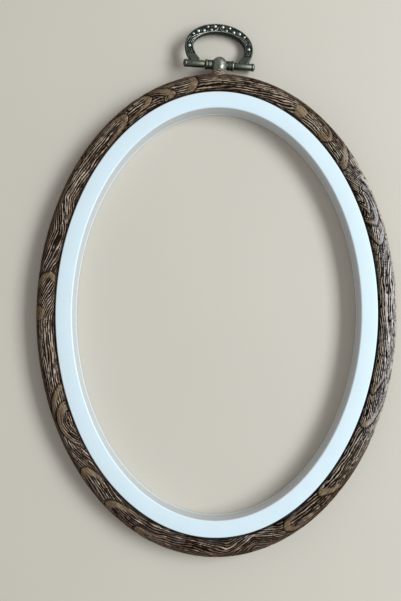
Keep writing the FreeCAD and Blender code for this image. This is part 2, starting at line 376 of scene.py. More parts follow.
FLAKES = [
    Flake([(40, 9, 0.5), (46, 8, 0.7), (50.4, 6.7, 1.0), (52.8, 5.2, 2.0), (53.4, 3.8, 3.8),
           (52.4, 2.2, 4.8), (50.8, 0.7, 4.4), (50, -0.4, 2)]),
    Flake([(57.5, 9.8, 1.2), (60, 7.8, 1.9), (63, 5.5, 2.5), (65, 3.6, 3.3), (66, 2, 3.9),
           (65.8, 0.7, 3.7), (65.2, -0.4, 2.4)]),
    Flake([(78, 4.2, 0.4), (82.5, 4.4, 0.6), (86.4, 3.4, 0.9), (84.4, 2.2, 0.7), (82, 0.8, 0.4)],
          nested=2.0),
    Flake([(76.5, 5.4, 0.6), (79.5, 6.9, 0.9), (84, 7.3, 1.1), (88.5, 7, 1.6), (91, 5.9, 2.0),
           (91.9, 4.5, 2.0), (91.2, 3, 1.6), (90, 1.4, 1.1), (89.4, -0.2, 0.8)], nested=2.6),
    Flake([(92.3, 9.9, 1), (95, 8.2, 2), (98, 6.3, 2.6), (99.9, 4.4, 2.3), (99.3, 3.2, 1.4),
           (97.5, 2, 1.1), (95, 0.7, 0.8)]),
    Flake([(152, 5.6, 0.4), (155, 4.6, 0.9), (157.6, 3.6, 1.4), (159.8, 2.8, 2.2),
           (160.4, 1.9, 2.6), (159.7, 1, 2), (158.6, 0, 1.5)]),
    Flake([(157, 10, 0.8), (163.5, 8.2, 1.3), (168, 7, 1.7), (171.8, 5.3, 2), (174, 3.4, 2.3),
           (173.9, 2.2, 2), (173, 1.1, 1.5), (172.4, -0.3, 1)]),
    Flake([(192, 10, 0.9), (197, 8.4, 1.4), (201.5, 6.4, 2), (205, 4.2, 2.7), (206.7, 2.6, 3.2),
           (206.2, 1.5, 2.8), (205, 0.5, 2), (204.4, -0.4, 1.5)]),
    Flake([(213, 8.6, 0.8), (218.5, 8.1, 1.4), (223, 7.3, 2.2), (225.3, 5.6, 2.8), (225.8, 4, 3),
           (225, 2.5, 2.8), (223.2, 1.3, 2.2), (219, 0.5, 1.2)], hollow=(220.9, 5, 1.3)),
    Flake([(279, 12.2, 1.5), (284.5, 10, 3), (286.9, 8, 3.2), (287.2, 6.6, 3), (286, 5.4, 2.2),
           (281.5, 5, 1.2), (276.5, 4.1, 0.7)]),
    Flake([(295.5, 12, 1.5), (299.8, 9.5, 2.2), (301.6, 7.4, 2.8), (301.8, 6, 2.8),
           (300.6, 4.4, 2.5), (297.8, 2.8, 2), (293.5, 1.6, 1.6), (286.5, 0.8, 1)],
          hollow=(296.9, 6.7, 1.8)),
    Flake([(309.5, 12, 1.2), (314.5, 9.6, 2.2), (317, 7.4, 2.8), (317.7, 5.7, 3.2),
           (316.8, 4, 3.4), (314.6, 2.5, 2.4), (311, 1.6, 1.5), (306, 1.5, 0.8)]),
    Flake([(324.8, 0.6, 0.8), (327.6, 3.4, 1), (331.5, 5.9, 1.3), (336, 7.2, 1.7),
           (340, 6.5, 1.4), (343, 4.7, 1), (344.6, 2.4, 0.9), (344.6, 0.2, 0.8)], nested=5.0),
    Flake([(337.5, 5, 0.5), (340.6, 4.5, 1.4), (343.1, 3.1, 2.4), (343.7, 1.6, 2.6),
           (343.2, 0.2, 2)], nested=2.0),
    Flake([(337, 10.4, 0.8), (341.5, 8.8, 1.1), (345.5, 6.9, 1.8), (348.6, 4.9, 2.2),
           (350.9, 2.9, 2.2), (351.8, 1.6, 2), (351.6, 0.2, 1.6)]),
    Flake([(387, 12, 1.2), (391.5, 10.1, 1.8), (394.8, 8.3, 2.2), (396.6, 6.2, 2.2),
           (397.4, 4.2, 2.2), (397.5, 2.6, 2.5), (396.8, 1.2, 2.8), (395.6, -0.2, 2.2)]),
    Flake([(450, 10, 0.7), (457, 8.6, 1.1), (463.5, 7.6, 1.7), (467.5, 6.6, 2.2),
           (469.4, 4.9, 2.5), (468.8, 3.3, 2.7), (466.5, 1.9, 2.4), (462.5, 1, 1.9),
           (456, 0.8, 1)], nested=1.6, hollow=(462.2, 3.8, 2.4)),
    Flake([(473, 11.4, 1), (477, 9.4, 1.5), (480, 7.2, 2), (481.6, 5.2, 2.5), (481.2, 3.8, 2.6),
           (478.5, 2.6, 1.8), (474, 2, 1.1), (470, 1.4, 0.7)]),
    Flake([(480, 11.4, 1), (483, 9, 1.6), (486, 7.4, 2), (489, 5.5, 2.4), (491.2, 3.4, 2.8),
           (491.4, 2.3, 2.8), (490.3, 1.1, 2.2), (489, -0.1, 1.5)], nested=4.0),
    Flake([(496, 12.2, 1.2), (499.3, 9.6, 2), (501, 7, 2.4), (501.5, 4.8, 2.7), (500.8, 3, 2.7),
           (499.6, 1.4, 2.7), (497.8, -0.2, 2)]),
]

KNOTS = [
    Knot(36.0, 3.9, 2.7, 2.7),
    Knot(381, 7.7, 2.8, 2.9),
    Knot(442.2, 8.9, 2.7, 1.8),
]

STREAKS = [
    Streak([(118, 4.3), (122, 3.9), (133, 4.0), (137, 4.8), (142, 6.4)], 0.5, 1.1),
    Streak([(117, 6.6), (124, 6.2), (131, 6.3), (137, 7.2)], 0.42, 1.0),
    Streak([(236, 0.8), (240, 1.8), (244, 4.2), (249.6, 7.4)], 0.5, 0.4),
    Streak([(243.5, 1.6), (248, 3.9), (253.5, 6.6)], 0.45, 0.4),
    Streak([(358, 4.6), (366, 4.9), (375, 4.5)], 0.35, 0.5),
    Streak([(350, 2.0), (362, 2.3), (376, 1.9)], 0.35, 0.6),
    Streak([(412, 2.0), (421, 4.1), (428.4, 7.3), (434, 6.5), (443, 5.2)], 0.35, 0.3),
    Streak([(416, 1.0), (424, 3.4), (428.6, 5.8), (433, 4.6), (442, 3.2)], 0.3, 0.3),
]

# How the grain climbs across the band: distance along it, and climb per millimetre
CLIMBS = [
    (0, 0.05), (12, 0.06), (16, 0.2), (30, 0.14), (36, 0), (64, 0), (68, 0.5), (77, 0.5),
    (80, 0), (98, 0), (101, -0.26), (111, -0.2), (116, -0.04), (134, 0.03), (142, 0.12),
    (156, 0.06), (161, 0.12), (171, 0.12), (175, -0.2), (180, -0.02), (225, 0), (228, -0.32),
    (238, -0.34), (240, 0.6), (248, 0.6), (251, -0.25), (261, -0.25), (266, 0.12),
    (278, 0.1), (283, -0.03), (312, -0.06), (318.5, 0.36), (326, 0.36), (330, 0),
    (352, -0.04), (383, -0.06), (388.5, -0.5), (393, -0.55), (397, -0.45), (403, -0.4),
    (406, -0.2), (413, -0.1), (415, 0.36), (428, 0.38), (429, -0.2), (440, -0.18), (444, -0.02),
    (500, 0), (510, 0.05),
]

# How far apart the grain's ridges lie: distance along the band, and spacing
SPACINGS = [
    (0, 1.12), (28, 1.05), (36, 0.86), (62, 0.8), (80, 0.84), (100, 0.92), (130, 0.96),
    (160, 0.86), (200, 0.88), (225, 1.0), (250, 1.16), (275, 1.08), (300, 1.0), (345, 1.04),
    (380, 1.0), (389, 1.26), (403, 1.26), (415, 1.16), (430, 1.12), (455, 1.0), (490, 1.04),
    (510, 1.12),
]

# The grain's waves: how far they swing, and their size along and across
WAVES = [(0.75, (17.0, 4.2)), (0.36, (6.3, 1.9)), (0.15, (2.4, 0.9))]

# Painted light and shade along the band, lighter on the right half where the lamp falls and darker
# at the bottom and on the left: distance along it, and what is added to its tone
PAINTED_LIGHT_AND_SHADE = [
    (0, -0.02), (30, 0.04), (60, 0.26), (90, 0.4), (110, 0.38), (150, 0.24), (195, 0.08),
    (215, -0.15), (265, -0.24), (310, -0.15), (340, -0.01), (365, -0.06), (385, -0.08),
    (402, -0.08), (416, -0.13), (440, -0.15), (455, -0.04), (470, -0.02), (510, -0.01),
]


@dataclass
class BarkBand:
    """The soft outer hoop, moulded as bark all over its front and outer side.

    Args:
        seat: the oval where the hoops meet.
        high_z: the band's crown.
        outer: how far outside the seat the band reaches.
    """

    seat: SeatOval
    high_z: float
    outer: float
    fabric_gap: float = 0.3
    shoulder_z: float = 8.3
    shoulder_drop: float = 0.3
    rebate_out: float = 1.5
    rebate_top: float = 1.7
    column_step: float = 0.42
    crowding: float = 1.3
    fine_step: float = 0.22
    fine_reach: float = 12.0
    coarse_step: float = 0.45
    spacing: float = 0.88
    fineness: float = 0.9
    steady_line: float = 4.0
    groove_depth: float = 0.38
    rim_drop: float = 0.02
    ridge_drop: float = 0.13
    crease_depth: float = 0.5
    crease_width: float = 0.5
    boss_radius: float = 3.2
    boss_rise: float = 1.2
    boss_flare: float = 1.0
    boss_root: float = 2.6
    boss_round: float = 0.5
    boss_pitch: float = 0.66
    boss_arch: float = 0.7
    boss_groove: float = 0.22
    boss_sides: int = 84
    flake_tail: float = 6.0
    flake_lead: float = 3.0
    flake_shift: float = 0.37
    stations: int = 4001
    seed: int = 7

    def __post_init__(self) -> None:
        """Works out the section's arcs from its sizes."""
        self.half = self.high_z / 2
        self.crown_at = self.outer - self.half
        run = self.crown_at - self.fabric_gap
        drop = self.high_z - self.shoulder_z
        self.crown_radius = (run * run + drop * drop) / (2 * drop)
        self.crown_skin = self.crown_radius * math.asin(run / self.crown_radius)
        self.skin = self.crown_skin + math.pi * self.half
        self.noise = RingNoise(self.seat.length, self.seed)

    def columns(self) -> np.ndarray:
        """Distances along the band where its columns stand, closer where the grain climbs."""
        count = round(self.seat.length / self.column_step)
        stations = np.linspace(0, self.seat.length, self.stations)
        crowd = 1 + self.crowding * np.abs(read_table(CLIMBS, stations))
        passed = np.concatenate([[0], np.cumsum((crowd[1:] + crowd[:-1]) / 2)])
        return np.interp(np.arange(count) / count * passed[-1], passed, stations)

    def rows(self) -> np.ndarray:
        """Distances across the band's skin where its rows lie."""
        fine = np.arange(0, self.fine_reach, self.fine_step)
        count = round((self.skin - self.fine_reach) / self.coarse_step)
        return np.concatenate([fine, np.linspace(self.fine_reach, self.skin, count + 1)])

    def worn_and_lit(self, along: np.ndarray) -> np.ndarray:
        """Which part of the band's length is the most worn and gets painted light and sheen: its
        right half.
        """
        return plateau(along, (48, 84), (158, 195))

    def weathered(self, along: np.ndarray, across: np.ndarray) -> np.ndarray:
        """How much grey painted sheen the band gets, most on the outer side of its right half."""
        return self.worn_and_lit(along) * plateau(across, (1.6, 5.2), (7.2, 10.5))

    def flat_back(self, across: np.ndarray) -> np.ndarray:
        """Where the bark gives way to the plain flat back."""
        return blend_step(across, self.skin - 3.0, self.skin - 1.2)

    def skin_at(self, across: np.ndarray) -> tuple[np.ndarray, ...]:
        """The smooth section under the bark.

        Args:
            across: distances across the skin from the inner shoulder.

        Returns:
            How far outside the seat and how high each place is, and its outward
            direction as two values.
        """
        crown = across < self.crown_skin
        low = (self.crown_skin - across) / self.crown_radius
        high = (across - self.crown_skin) / self.half
        out = np.where(
            crown,
            self.crown_at - self.crown_radius * np.sin(low),
            self.crown_at + self.half * np.sin(high),
        )
        up = np.where(
            crown,
            self.high_z - self.crown_radius * (1 - np.cos(low)),
            self.half + self.half * np.cos(high),
        )
        way_out = np.where(crown, -np.sin(low), np.sin(high))
        way_up = np.where(crown, np.cos(low), np.cos(high))
        return out, up, way_out, way_up

    def near(self, along: np.ndarray, place: float) -> np.ndarray:
        """Signed distance along the band from a place, the short way round."""
        length = self.seat.length
        return np.mod(along - place + length / 2, length) - length / 2

    def base_phase(self, along: np.ndarray, across: np.ndarray) -> np.ndarray:
        """Counts the grain's ridges across the band, with its climbs and waves."""
        stations = np.linspace(0, self.seat.length, self.stations)
        slope = read_table(CLIMBS, stations)
        climb = np.concatenate([[0], np.cumsum((slope[1:] + slope[:-1]) / 2)])
        climb *= stations[1] - stations[0]
        # what the climbs add up to is spread, so that the ridges meet where the band closes
        climb -= climb[-1] * stations / self.seat.length
        place = np.mod(along, self.seat.length)
        raised = across - np.interp(place, stations, climb)
        wave = sum(swing * self.noise.at(along, across, size) for swing, size in WAVES)
        spacing = self.fineness * read_table(SPACINGS, place)
        return (raised + wave - self.steady_line) / spacing

    def flake_field(self, flake: Flake, along: np.ndarray, across: np.ndarray) -> tuple:
        """Measures a patch of the band against one flake's rim.

        Args:
            flake: the flake.
            along: distances along the band, without a jump at its closing.
            across: distances across the skin.

        Returns:
            The depth inside the rim, negative outside it, and the rim's width at
            the nearest place.
        """
        line = smooth_line(np.array(flake.rim, float), 10)
        start, end = line[:-1, :2], line[1:, :2]
        step = end - start
        spot = np.stack([along, across], -1)[..., None, :]
        share = ((spot - start) * step).sum(-1) / (step * step).sum(-1)
        share = np.clip(share, 0, 1)
        gap = spot - (start + share[..., None] * step)
        distance = np.hypot(gap[..., 0], gap[..., 1])
        side = step[..., 0] * gap[..., 1] - step[..., 1] * gap[..., 0]
        width = mix(line[:-1, 2], line[1:, 2], share)
        nearest = distance.argmin(-1)[..., None]
        depth, side, width = (
            np.take_along_axis(values, nearest, -1)[..., 0] for values in (distance, side, width)
        )
        return np.where(side < 0, depth, -depth), width

    def lay_flake(
        self,
        flake: Flake,
        shift: float,
        along: np.ndarray,
        across: np.ndarray,
        phase: np.ndarray,
        marks: dict[str, np.ndarray],
    ) -> None:
        """Lays one flake over the grain, with its smooth rim and the dark round it, which is dark
        paint and painted shade.

        Args:
            flake: the flake.
            shift: where the count of its own nested ridges starts.
            along: distances along the band.
            across: distances across its skin.
            phase: the ridge count, which the flake changes inside it.
            marks: the bark's marks, which it changes too.
        """
        ends = np.array(flake.rim)
        low, high = ends[:, 0].min() - self.flake_tail, ends[:, 0].max() + self.flake_lead
        middle = (low + high) / 2
        local = self.near(along, middle) + middle
        patch = np.flatnonzero((local[:, 0] > low) & (local[:, 0] < high))
        u, v = local[patch], across[patch]
        depth, width = self.flake_field(flake, u, v)
        depth = depth + 0.16 * self.noise.at(u, v, (1.9, 1.1))
        width = width * (1.15 + 0.2 * self.noise.at(u, v, (4.3, 2.4)))
        inside = depth > 0
        tail = blend_step(u, low, low + self.flake_tail)
        if flake.nested:
            follows = inside & (depth < flake.nested * tail)
            phase[patch] = np.where(follows, shift - depth / self.spacing, phase[patch])
        else:
            # the grain steps aside where it passes under the rim
            phase[patch] += np.where(inside, 0.43 * tail, 0)
        band = plateau(depth, (-0.06, 0.12), (width * 0.8, width))
        # the rim is smooth at the flake's nose and frays along its limbs
        frayed = 0.55 + 0.45 * blend_step(u, high - 15, high - 6.5)
        frayed = frayed + 0.4 * self.noise.at(u, v, (2.6, 0.55)) * (1.2 - frayed)
        band = band * np.clip(frayed, 0, 1)
        # the dark before the nose and behind the rim is dark paint and painted shade, where the
        # flake overlaps the next
        before = (-self.crease_width - 0.45, -self.crease_width + 0.1)
        shade = plateau(depth, before, (-0.1, 0.05))
        behind = plateau(depth, (width * 0.85, width), (width + 0.1, width + 0.5))
        strength = blend_step(width, 0.3, 1.2)
        dark = np.maximum(shade * strength, 0.35 * behind * strength)
        cover = inside & (depth < width)
        rim, crease_and_shade, bulge = marks["rim"], marks["crease_and_shade"], marks["bulge"]
        rim[patch] = np.where(cover, band, rim[patch] * (1 - band))
        bulge[patch] = np.where(cover, blend_step(depth, 0, 0.7), bulge[patch])
        crease_and_shade[patch] = np.where(cover, dark, np.maximum(crease_and_shade[patch], dark))
        # the dip behind the nose is darkened with painted shade
        if flake.hollow:
            place, level, reach = flake.hollow
            dip = np.hypot((u - place) / reach, (v - level) / (reach * 0.6))
            crease_and_shade[patch] = np.maximum(crease_and_shade[patch], 1 - blend_step(dip, 0.4, 1.1))

    def lay_knot(
        self, knot: Knot, along: np.ndarray, across: np.ndarray, marks: dict[str, np.ndarray]
    ) -> None:
        """Lays one knot over the grain, smooth on top and with a dark line round it, which is dark
        paint and painted shade.

        Args:
            knot: the knot.
            along: distances along the band.
            across: distances across its skin.
            marks: the bark's marks, which the knot changes.
        """
        dx = self.near(along, knot.along) / knot.half_length
        dy = (across - knot.across) / knot.half_width
        depth = (1 - np.hypot(dx, dy)) * knot.half_width
        depth += 0.3 * self.noise.at(along, across, (2.3, 1.3))
        outside = 1 - blend_step(depth, 0, 0.2)
        shade = plateau(depth, (-0.8, -0.15), (-0.15, 0.05))
        marks["rim"] = np.maximum(marks["rim"], blend_step(depth, -0.05, 0.2))
        marks["bulge"] = np.maximum(marks["bulge"], blend_step(depth, 0, 0.9))
        marks["crease_and_shade"] = np.maximum(marks["crease_and_shade"] * outside, 0.8 * shade)

    def lay_streak(
        self, streak: Streak, along: np.ndarray, across: np.ndarray, marks: dict[str, np.ndarray]
    ) -> None:
        """Raises one bold ridge out of the grain.

        Args:
            streak: the ridge.
            along: distances along the band.
            across: distances across its skin.
            marks: the bark's marks, which the ridge changes.
        """
        line = smooth_line(np.array(streak.line), 12)
        level = read_table(line, np.mod(along, self.seat.length))
        level = level + 0.35 * self.noise.at(along, across, (5.0, 50.0))
        start, end = line[0, 0], line[-1, 0]
        length = plateau(along, (start, start + 3), (end - 3, end))
        offset = np.abs(across - level) / streak.width
        bold = length * (1 - blend_step(offset, 0.3, 0.75))
        marks["strand"] = np.maximum(marks["strand"], bold)
        marks["tone"] = np.maximum(marks["tone"], streak.lightness * bold)

    def tones_and_light(self, along: np.ndarray, across: np.ndarray, phase: np.ndarray) -> np.ndarray:
        """How light the bark is, with painted light and shade in its tone.

        Args:
            along: distances along the band.
            across: distances across its skin.
            phase: the ridge count.

        Returns:
            The tone of each place, about 0 where it is dark and 1 where it is light.
        """
        worn_and_lit = self.worn_and_lit(along)
        bottom = plateau(along, (192, 212), (296, 318))
        uneven = 0.55 + 0.45 * worn_and_lit + 0.6 * bottom
        tone = 0.5 + read_table(PAINTED_LIGHT_AND_SHADE, np.mod(along, self.seat.length))
        tone += 0.42 * uneven * self.noise.at(along, phase, (9.0, 0.9))
        tone += 0.4 * uneven * self.noise.at(along, phase, (1.9, 0.8))
        # painted light: on the right half the outer slope, which faces the lamp, is lighter and
        # the inner shoulder darker
        tone += 0.36 * worn_and_lit * (blend_step(across, 1.4, 4.2) - 0.35)
        # painted shade: away from the right half the outer side is darker, where less light falls
        tone -= 0.5 * (1 - worn_and_lit) * blend_step(across, 5.5, 8.5)
        return tone

    def bark(self, along: np.ndarray, across: np.ndarray) -> dict[str, np.ndarray]:
        """Lays out the bark.

        Args:
            along: distances along the band.
            across: distances across its skin.

        Returns:
            Its marks by name: how far the grain stands up, how light it is with its painted light
                and shade, and masks
            for smooth rims, creases dark with paint and painted shade, and what bulges.
        """
        names = ("strand", "tone", "rim", "crease_and_shade", "bulge")
        marks = {name: np.zeros(along.shape) for name in names}
        phase = self.base_phase(along, across)
        for number, flake in enumerate(reversed(FLAKES)):
            self.lay_flake(flake, number * self.flake_shift, along, across, phase, marks)
        for knot in KNOTS:
            self.lay_knot(knot, along, across, marks)
        strand = self.strands(along, phase, blend_step(across, 7.5, 11.0))
        worn = 0.22 * self.worn_and_lit(along) * (1 - blend_step(across, 1.4, 3.0))
        marks["strand"] = strand * (1 - worn)
        marks["tone"] = self.tones_and_light(along, across, phase)
        for streak in STREAKS:
            self.lay_streak(streak, along, across, marks)
        # towards the table the grain gets shallow and dull, and the flat back is plain
        lower, back = blend_step(across, 8.0, 13.0), self.flat_back(across)
        strand, tone = marks["strand"], marks["tone"]
        marks["strand"] = mix(mix(strand, 0.4 + 0.5 * strand, lower), 0.85, back)
        marks["tone"] = mix(mix(tone, 0.25 + 0.4 * (tone - 0.5), lower), 0.12, back)
        marks["rim"] = marks["rim"] * (1 - lower)
        marks["crease_and_shade"] = marks["crease_and_shade"] * (1 - 0.8 * lower)
        return marks

    def strands(self, along: np.ndarray, phase: np.ndarray, soft: np.ndarray) -> np.ndarray:
        """The grain's ridges: uneven, broken, and following the ridge count.

        Args:
            along: distances along the band.
            phase: the ridge count.
            soft: how soft the grooves' edges are, from 0 to 1.

        Returns:
            How far each place stands up, from 0 in a groove to 1 on a ridge.
        """
        raised = 0.92 * np.cos(FULL_TURN * phase)
        raised += 0.3 * self.noise.at(along, phase, (6.0, 0.8))
        broken = 0.58 + 0.16 * self.worn_and_lit(along)
        raised += broken * self.noise.at(along, phase, (1.4, 0.7))
        raised += 0.14 * self.noise.at(along, phase, (13.0, 2.3))
        return blend_step(raised, -0.18 - 0.42 * soft, 0.48 + 0.42 * soft)

    @property
    def boss_top(self) -> float:
        """How far from the middle of the oval the boss ends."""
        return self.seat.half_y + self.outer + self.boss_rise

    def boss_outline(self) -> tuple[np.ndarray, np.ndarray]:
        """The boss's smooth outline, from its root to the middle of its lid.

        Returns:
            How far out its rings lie, and their radii, each as a column.
        """
        foot = self.boss_top - self.boss_rise - self.boss_root
        share = np.linspace(0, 1, 34)[:, None]
        side = foot + (self.boss_top - self.boss_round - foot) * share
        flare = self.boss_radius + self.boss_flare * (1 - share) ** 2.4
        bend = np.linspace(0.12, 1, 7)[:, None] * math.pi / 2
        edge = self.boss_radius - self.boss_round * (1 - np.cos(bend))
        rounded = self.boss_top - self.boss_round * (1 - np.sin(bend))
        lid = np.array([[0.8], [0.6], [0.35], [0.1]]) * edge[-1]
        level = np.concatenate([side, rounded, np.full(lid.shape, self.boss_top)])
        return level, np.concatenate([flare, edge, lid])

    def boss(self) -> tuple[np.ndarray, dict[str, np.ndarray]]:
        """Lays out the boss under the hanger, with its own arched ridges.

        Returns:
            Its net of points, turned about the hanger's shank, and its marks.
        """
        level, radius = self.boss_outline()
        angles = np.arange(self.boss_sides) * FULL_TURN / self.boss_sides
        plain = np.zeros((len(level), len(angles)))
        x, arc = radius * np.sin(angles), angles * self.boss_radius + plain
        arched = self.boss_top - level - self.boss_arch * (x / self.boss_radius) ** 2
        arched = arched / self.boss_pitch
        arched = arched + 0.22 * self.noise.at(arc, level + plain, (2.6, 1.1))
        raised = 0.9 * np.cos(FULL_TURN * arched)
        raised += 0.5 * self.noise.at(arc, arched, (1.6, 0.7))
        strand = blend_step(raised, -0.45, 0.55)
        # a small round pit in the boss's lid, darkened with painted shade
        dent = np.hypot(x + 0.9, (level - self.boss_top + 0.9) / 0.75)
        pit = 1 - blend_step(dent, 0.25, 0.6)
        sunk = self.boss_groove * (1 - strand) * blend_step(radius, 0.5, 2.0) + 0.3 * pit
        out = radius - sunk
        net = np.stack([out * np.sin(angles), level + plain, self.half + out * np.cos(angles)], -1)
        # the boss gets a little of the band's grey painted sheen
        marks = {
            "strand": strand, "tone": 0.62 + 0.3 * (raised - 0.5), "rim": plain, "crease_and_shade": pit,
            "bulge": plain, "along": np.abs(arc - math.pi * self.boss_radius),
            "across": level + plain, "weathered": plain + 0.2,
        }
        return net, marks

    def sunk(
        self, along: np.ndarray, across: np.ndarray, marks: dict[str, np.ndarray]
    ) -> np.ndarray:
        """How deep the bark lies under the smooth section.

        Args:
            along: distances along the band.
            across: distances across its skin.
            marks: the bark's marks.

        Returns:
            The depth of each place.
        """
        low = 1 - marks["strand"]
        ground = self.ridge_drop + self.groove_depth * low
        top = self.rim_drop + 0.09 * low + 0.1 * (1 - marks["bulge"])
        sunk = mix(ground, top, marks["rim"])
        sunk = np.maximum(sunk, self.crease_depth * marks["crease_and_shade"])
        swell = 0.05 * (1 + self.noise.at(along, across, (7.0, 3.0)))
        sunk = sunk + swell * (1 - marks["rim"])
        # the relief dies out at the inner shoulder and where the flat back begins
        return sunk * plateau(across, (0, 0.5), (self.skin - 1.5, self.skin))

    def net(self, along: np.ndarray, across: np.ndarray, sunk: np.ndarray) -> np.ndarray:
        """The band's net of points.

        Args:
            along: distances along the band.
            across: distances across its skin.
            sunk: how deep each place lies under the smooth section.

        Returns:
            Rows of points round the section: the bark, then the hidden inner side.
        """
        out, up, way_out, way_up = self.skin_at(across)
        turn = self.seat.turn_at(along)
        points = np.concatenate([self.seat.point(turn, out), up[..., None]], -1)
        points[..., :2] -= (sunk * way_out)[..., None] * self.seat.outward(turn)
        points[..., 2] -= sunk * way_up
        inner_side = [
            (self.rebate_out, 0.0),
            (self.rebate_out, self.rebate_top),
            (self.fabric_gap, self.rebate_top),
            (self.fabric_gap, self.shoulder_z - self.shoulder_drop),
        ]
        hidden = [self.seat.ring(turn[:, 0], *place) for place in inner_side]
        return np.concatenate([points, np.stack(hidden, 1)], 1)

    def build(self) -> bpy.types.Object:
        """Makes the bark band, riding with the outer hoop that it stands for."""
        along, across = np.meshgrid(self.columns(), self.rows(), indexing="ij")
        marks = self.bark(along, across)
        # painted shade: a dark line runs all along the inner shoulder, in the gap against the
        # white hoop
        shade = across + 0.3 * self.noise.at(along, across, (1.8, 1.0))
        marks["crease_and_shade"] = np.maximum(marks["crease_and_shade"], 1 - blend_step(shade, 0.3, 0.95))
        net = self.net(along, across, self.sunk(along, across, marks))
        # in colour alone, the grooves take up more of the bark where it is dark
        wider = 0.04 - 0.14 * (1 - blend_step(marks["tone"], *TONE_SPAN))
        marks["strand"] = marks["strand"] + wider * (1 - self.flat_back(across))
        # the distance is folded at the bottom, so that it doesn't jump where the band closes
        folded = np.abs(along - self.seat.length / 2)
        marks.update(along=folded, across=across, weathered=self.weathered(along, across))
        boss_net, boss_marks = self.boss()
        parts = MeshParts()
        parts.grid(net, True, True)
        parts.grid(boss_net, False, True)
        piece = parts.build("bark_band", 55)
        spare = net.shape[1] - across.shape[1]
        for name, values in marks.items():
            wide = np.pad(values, ((0, 0), (0, spare)), mode="edge").ravel()
            layer = piece.data.attributes.new(name, "FLOAT", "POINT")
            values = np.concatenate([wide, boss_marks[name].ravel()])
            layer.data.foreach_set("value", values.astype(np.float32))
        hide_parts("outer_hoop")
        return settle(piece, Body.OUTER)


@dataclass
class WhiteHoop:
    """The stiff inner hoop: a channel, open at the back, with cross ribs.

    Args:
        seat: the oval where the hoops meet.
        depth: from the back to the flat front.
    """

    seat: SeatOval
    depth: float
    face_width: float = 6.8
    wall: float = 1.5
    face_thickness: float = 1.7
    inner_round: float = 0.6
    outer_round: float = 0.45
    lip_reach: float = 1.2
    lip_thickness: float = 1.4
    step_height: float = 4.5
    step_back: float = 0.12
    bead_height: float = 0.95
    bead_reach: float = 0.13
    bead_bevel: float = 0.08
    foot_bevel: float = 0.2
    foot_setback: float = 0.15
    rib_count: int = 16
    rib_thickness: float = 1.2
    rib_setback: float = 2.0
    columns: int = 480

    def corner(self, centre: Span, radius: float, first: float) -> list:
        """Points of a rounded corner, a quarter turn clockwise from an angle."""
        turns = np.radians(first - np.linspace(0, 90, 7))
        x, y = centre
        return [(x + radius * math.cos(t), y + radius * math.sin(t)) for t in turns]

    def section(self) -> list[tuple[float, float]]:
        """The hoop's section as pairs of outwards and up."""
        inside, top = -self.face_width, self.depth
        upper = inside + self.step_back
        roof = top - self.face_thickness
        bead, lower = inside - self.bead_reach, inside + self.step_back / 2
        points = [(bead, self.foot_bevel), (bead, self.bead_height - 0.35)]
        points += [(bead + self.bead_bevel, self.bead_height - 0.1), (lower, self.bead_height)]
        points += [(lower, self.step_height - 0.25), (upper, self.step_height)]
        centre = (upper + self.inner_round, top - self.inner_round)
        points += self.corner(centre, self.inner_round, 180)
        points += [(inside / 2, top)]
        centre = (-self.outer_round, top - self.outer_round)
        points += self.corner(centre, self.outer_round, 90)
        points += [
            (0.0, self.lip_thickness),
            (self.lip_reach, self.lip_thickness),
            (self.lip_reach, 0.0),
            (-self.wall, 0.0),
            (-self.wall, roof),
            (inside + self.wall, roof),
            (inside + self.wall, 0.0),
            (inside + self.foot_setback, 0.0),
        ]
        return points

    def build(self) -> bpy.types.Object:
        """Makes the hoop, riding with the inner hoop that it stands for."""
        turn = np.arange(self.columns) * FULL_TURN / self.columns
        rings = [self.seat.ring(turn, *place) for place in self.section()]
        parts = MeshParts()
        parts.grid(np.stack(rings, 1), True, True)
        self.add_ribs(parts)
        piece = parts.build("white_hoop", 40)
        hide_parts("inner_hoop")
        return settle(piece, Body.INNER)

    def add_ribs(self, parts: MeshParts) -> None:
        """Adds the cross ribs, each let into both walls of the channel."""
        slack = self.wall / 2
        top = self.depth - self.face_thickness / 2
        for number in range(self.rib_count):
            angle = (number + 0.5) * FULL_TURN / self.rib_count
            ray = Vector((math.cos(angle), math.sin(angle), 0))
            reach = self.radius_along(ray)
            inner, outer = reach - self.face_width + slack, reach - slack
            side = Vector((-ray.y, ray.x, 0)) * (self.rib_thickness / 2)
            corners = [ray * r + side * way for r in (inner, outer) for way in (-1, 1)]
            net = [
                [(c.x, c.y, z) for z in (self.rib_setback, top)]
                for c in (corners[0], corners[2], corners[3], corners[1])
            ]
            start = parts.count()
            parts.grid(np.array(net), True, False)
            parts.cap([start + 6, start + 4, start + 2, start])
            parts.cap([start + 1, start + 3, start + 5, start + 7])

    def radius_along(self, ray: Vector) -> float:
        """How far from the middle the seat's oval lies along a ray."""
        return 1 / math.hypot(ray.x / self.seat.half_x, ray.y / self.seat.half_y)


BEADS = [
    (7.0, 0.66, True),
    (14.8, 0.31, False),
    (20.0, 0.72, False),
    (29.8, 0.38, True),
    (41.5, 0.58, True),
    (54.0, 0.65, False),
    (88.0, 0.48, True),
]


@dataclass
class Scroll:
    """A raised stroke of the ornament.

    Args:
        path: places on it: degrees from the bail's top and share across.
        width: its width.
        height: its height over the recess.
    """

    path: list[tuple[float, float]]
    width: float = 0.34
    height: float = 0.34


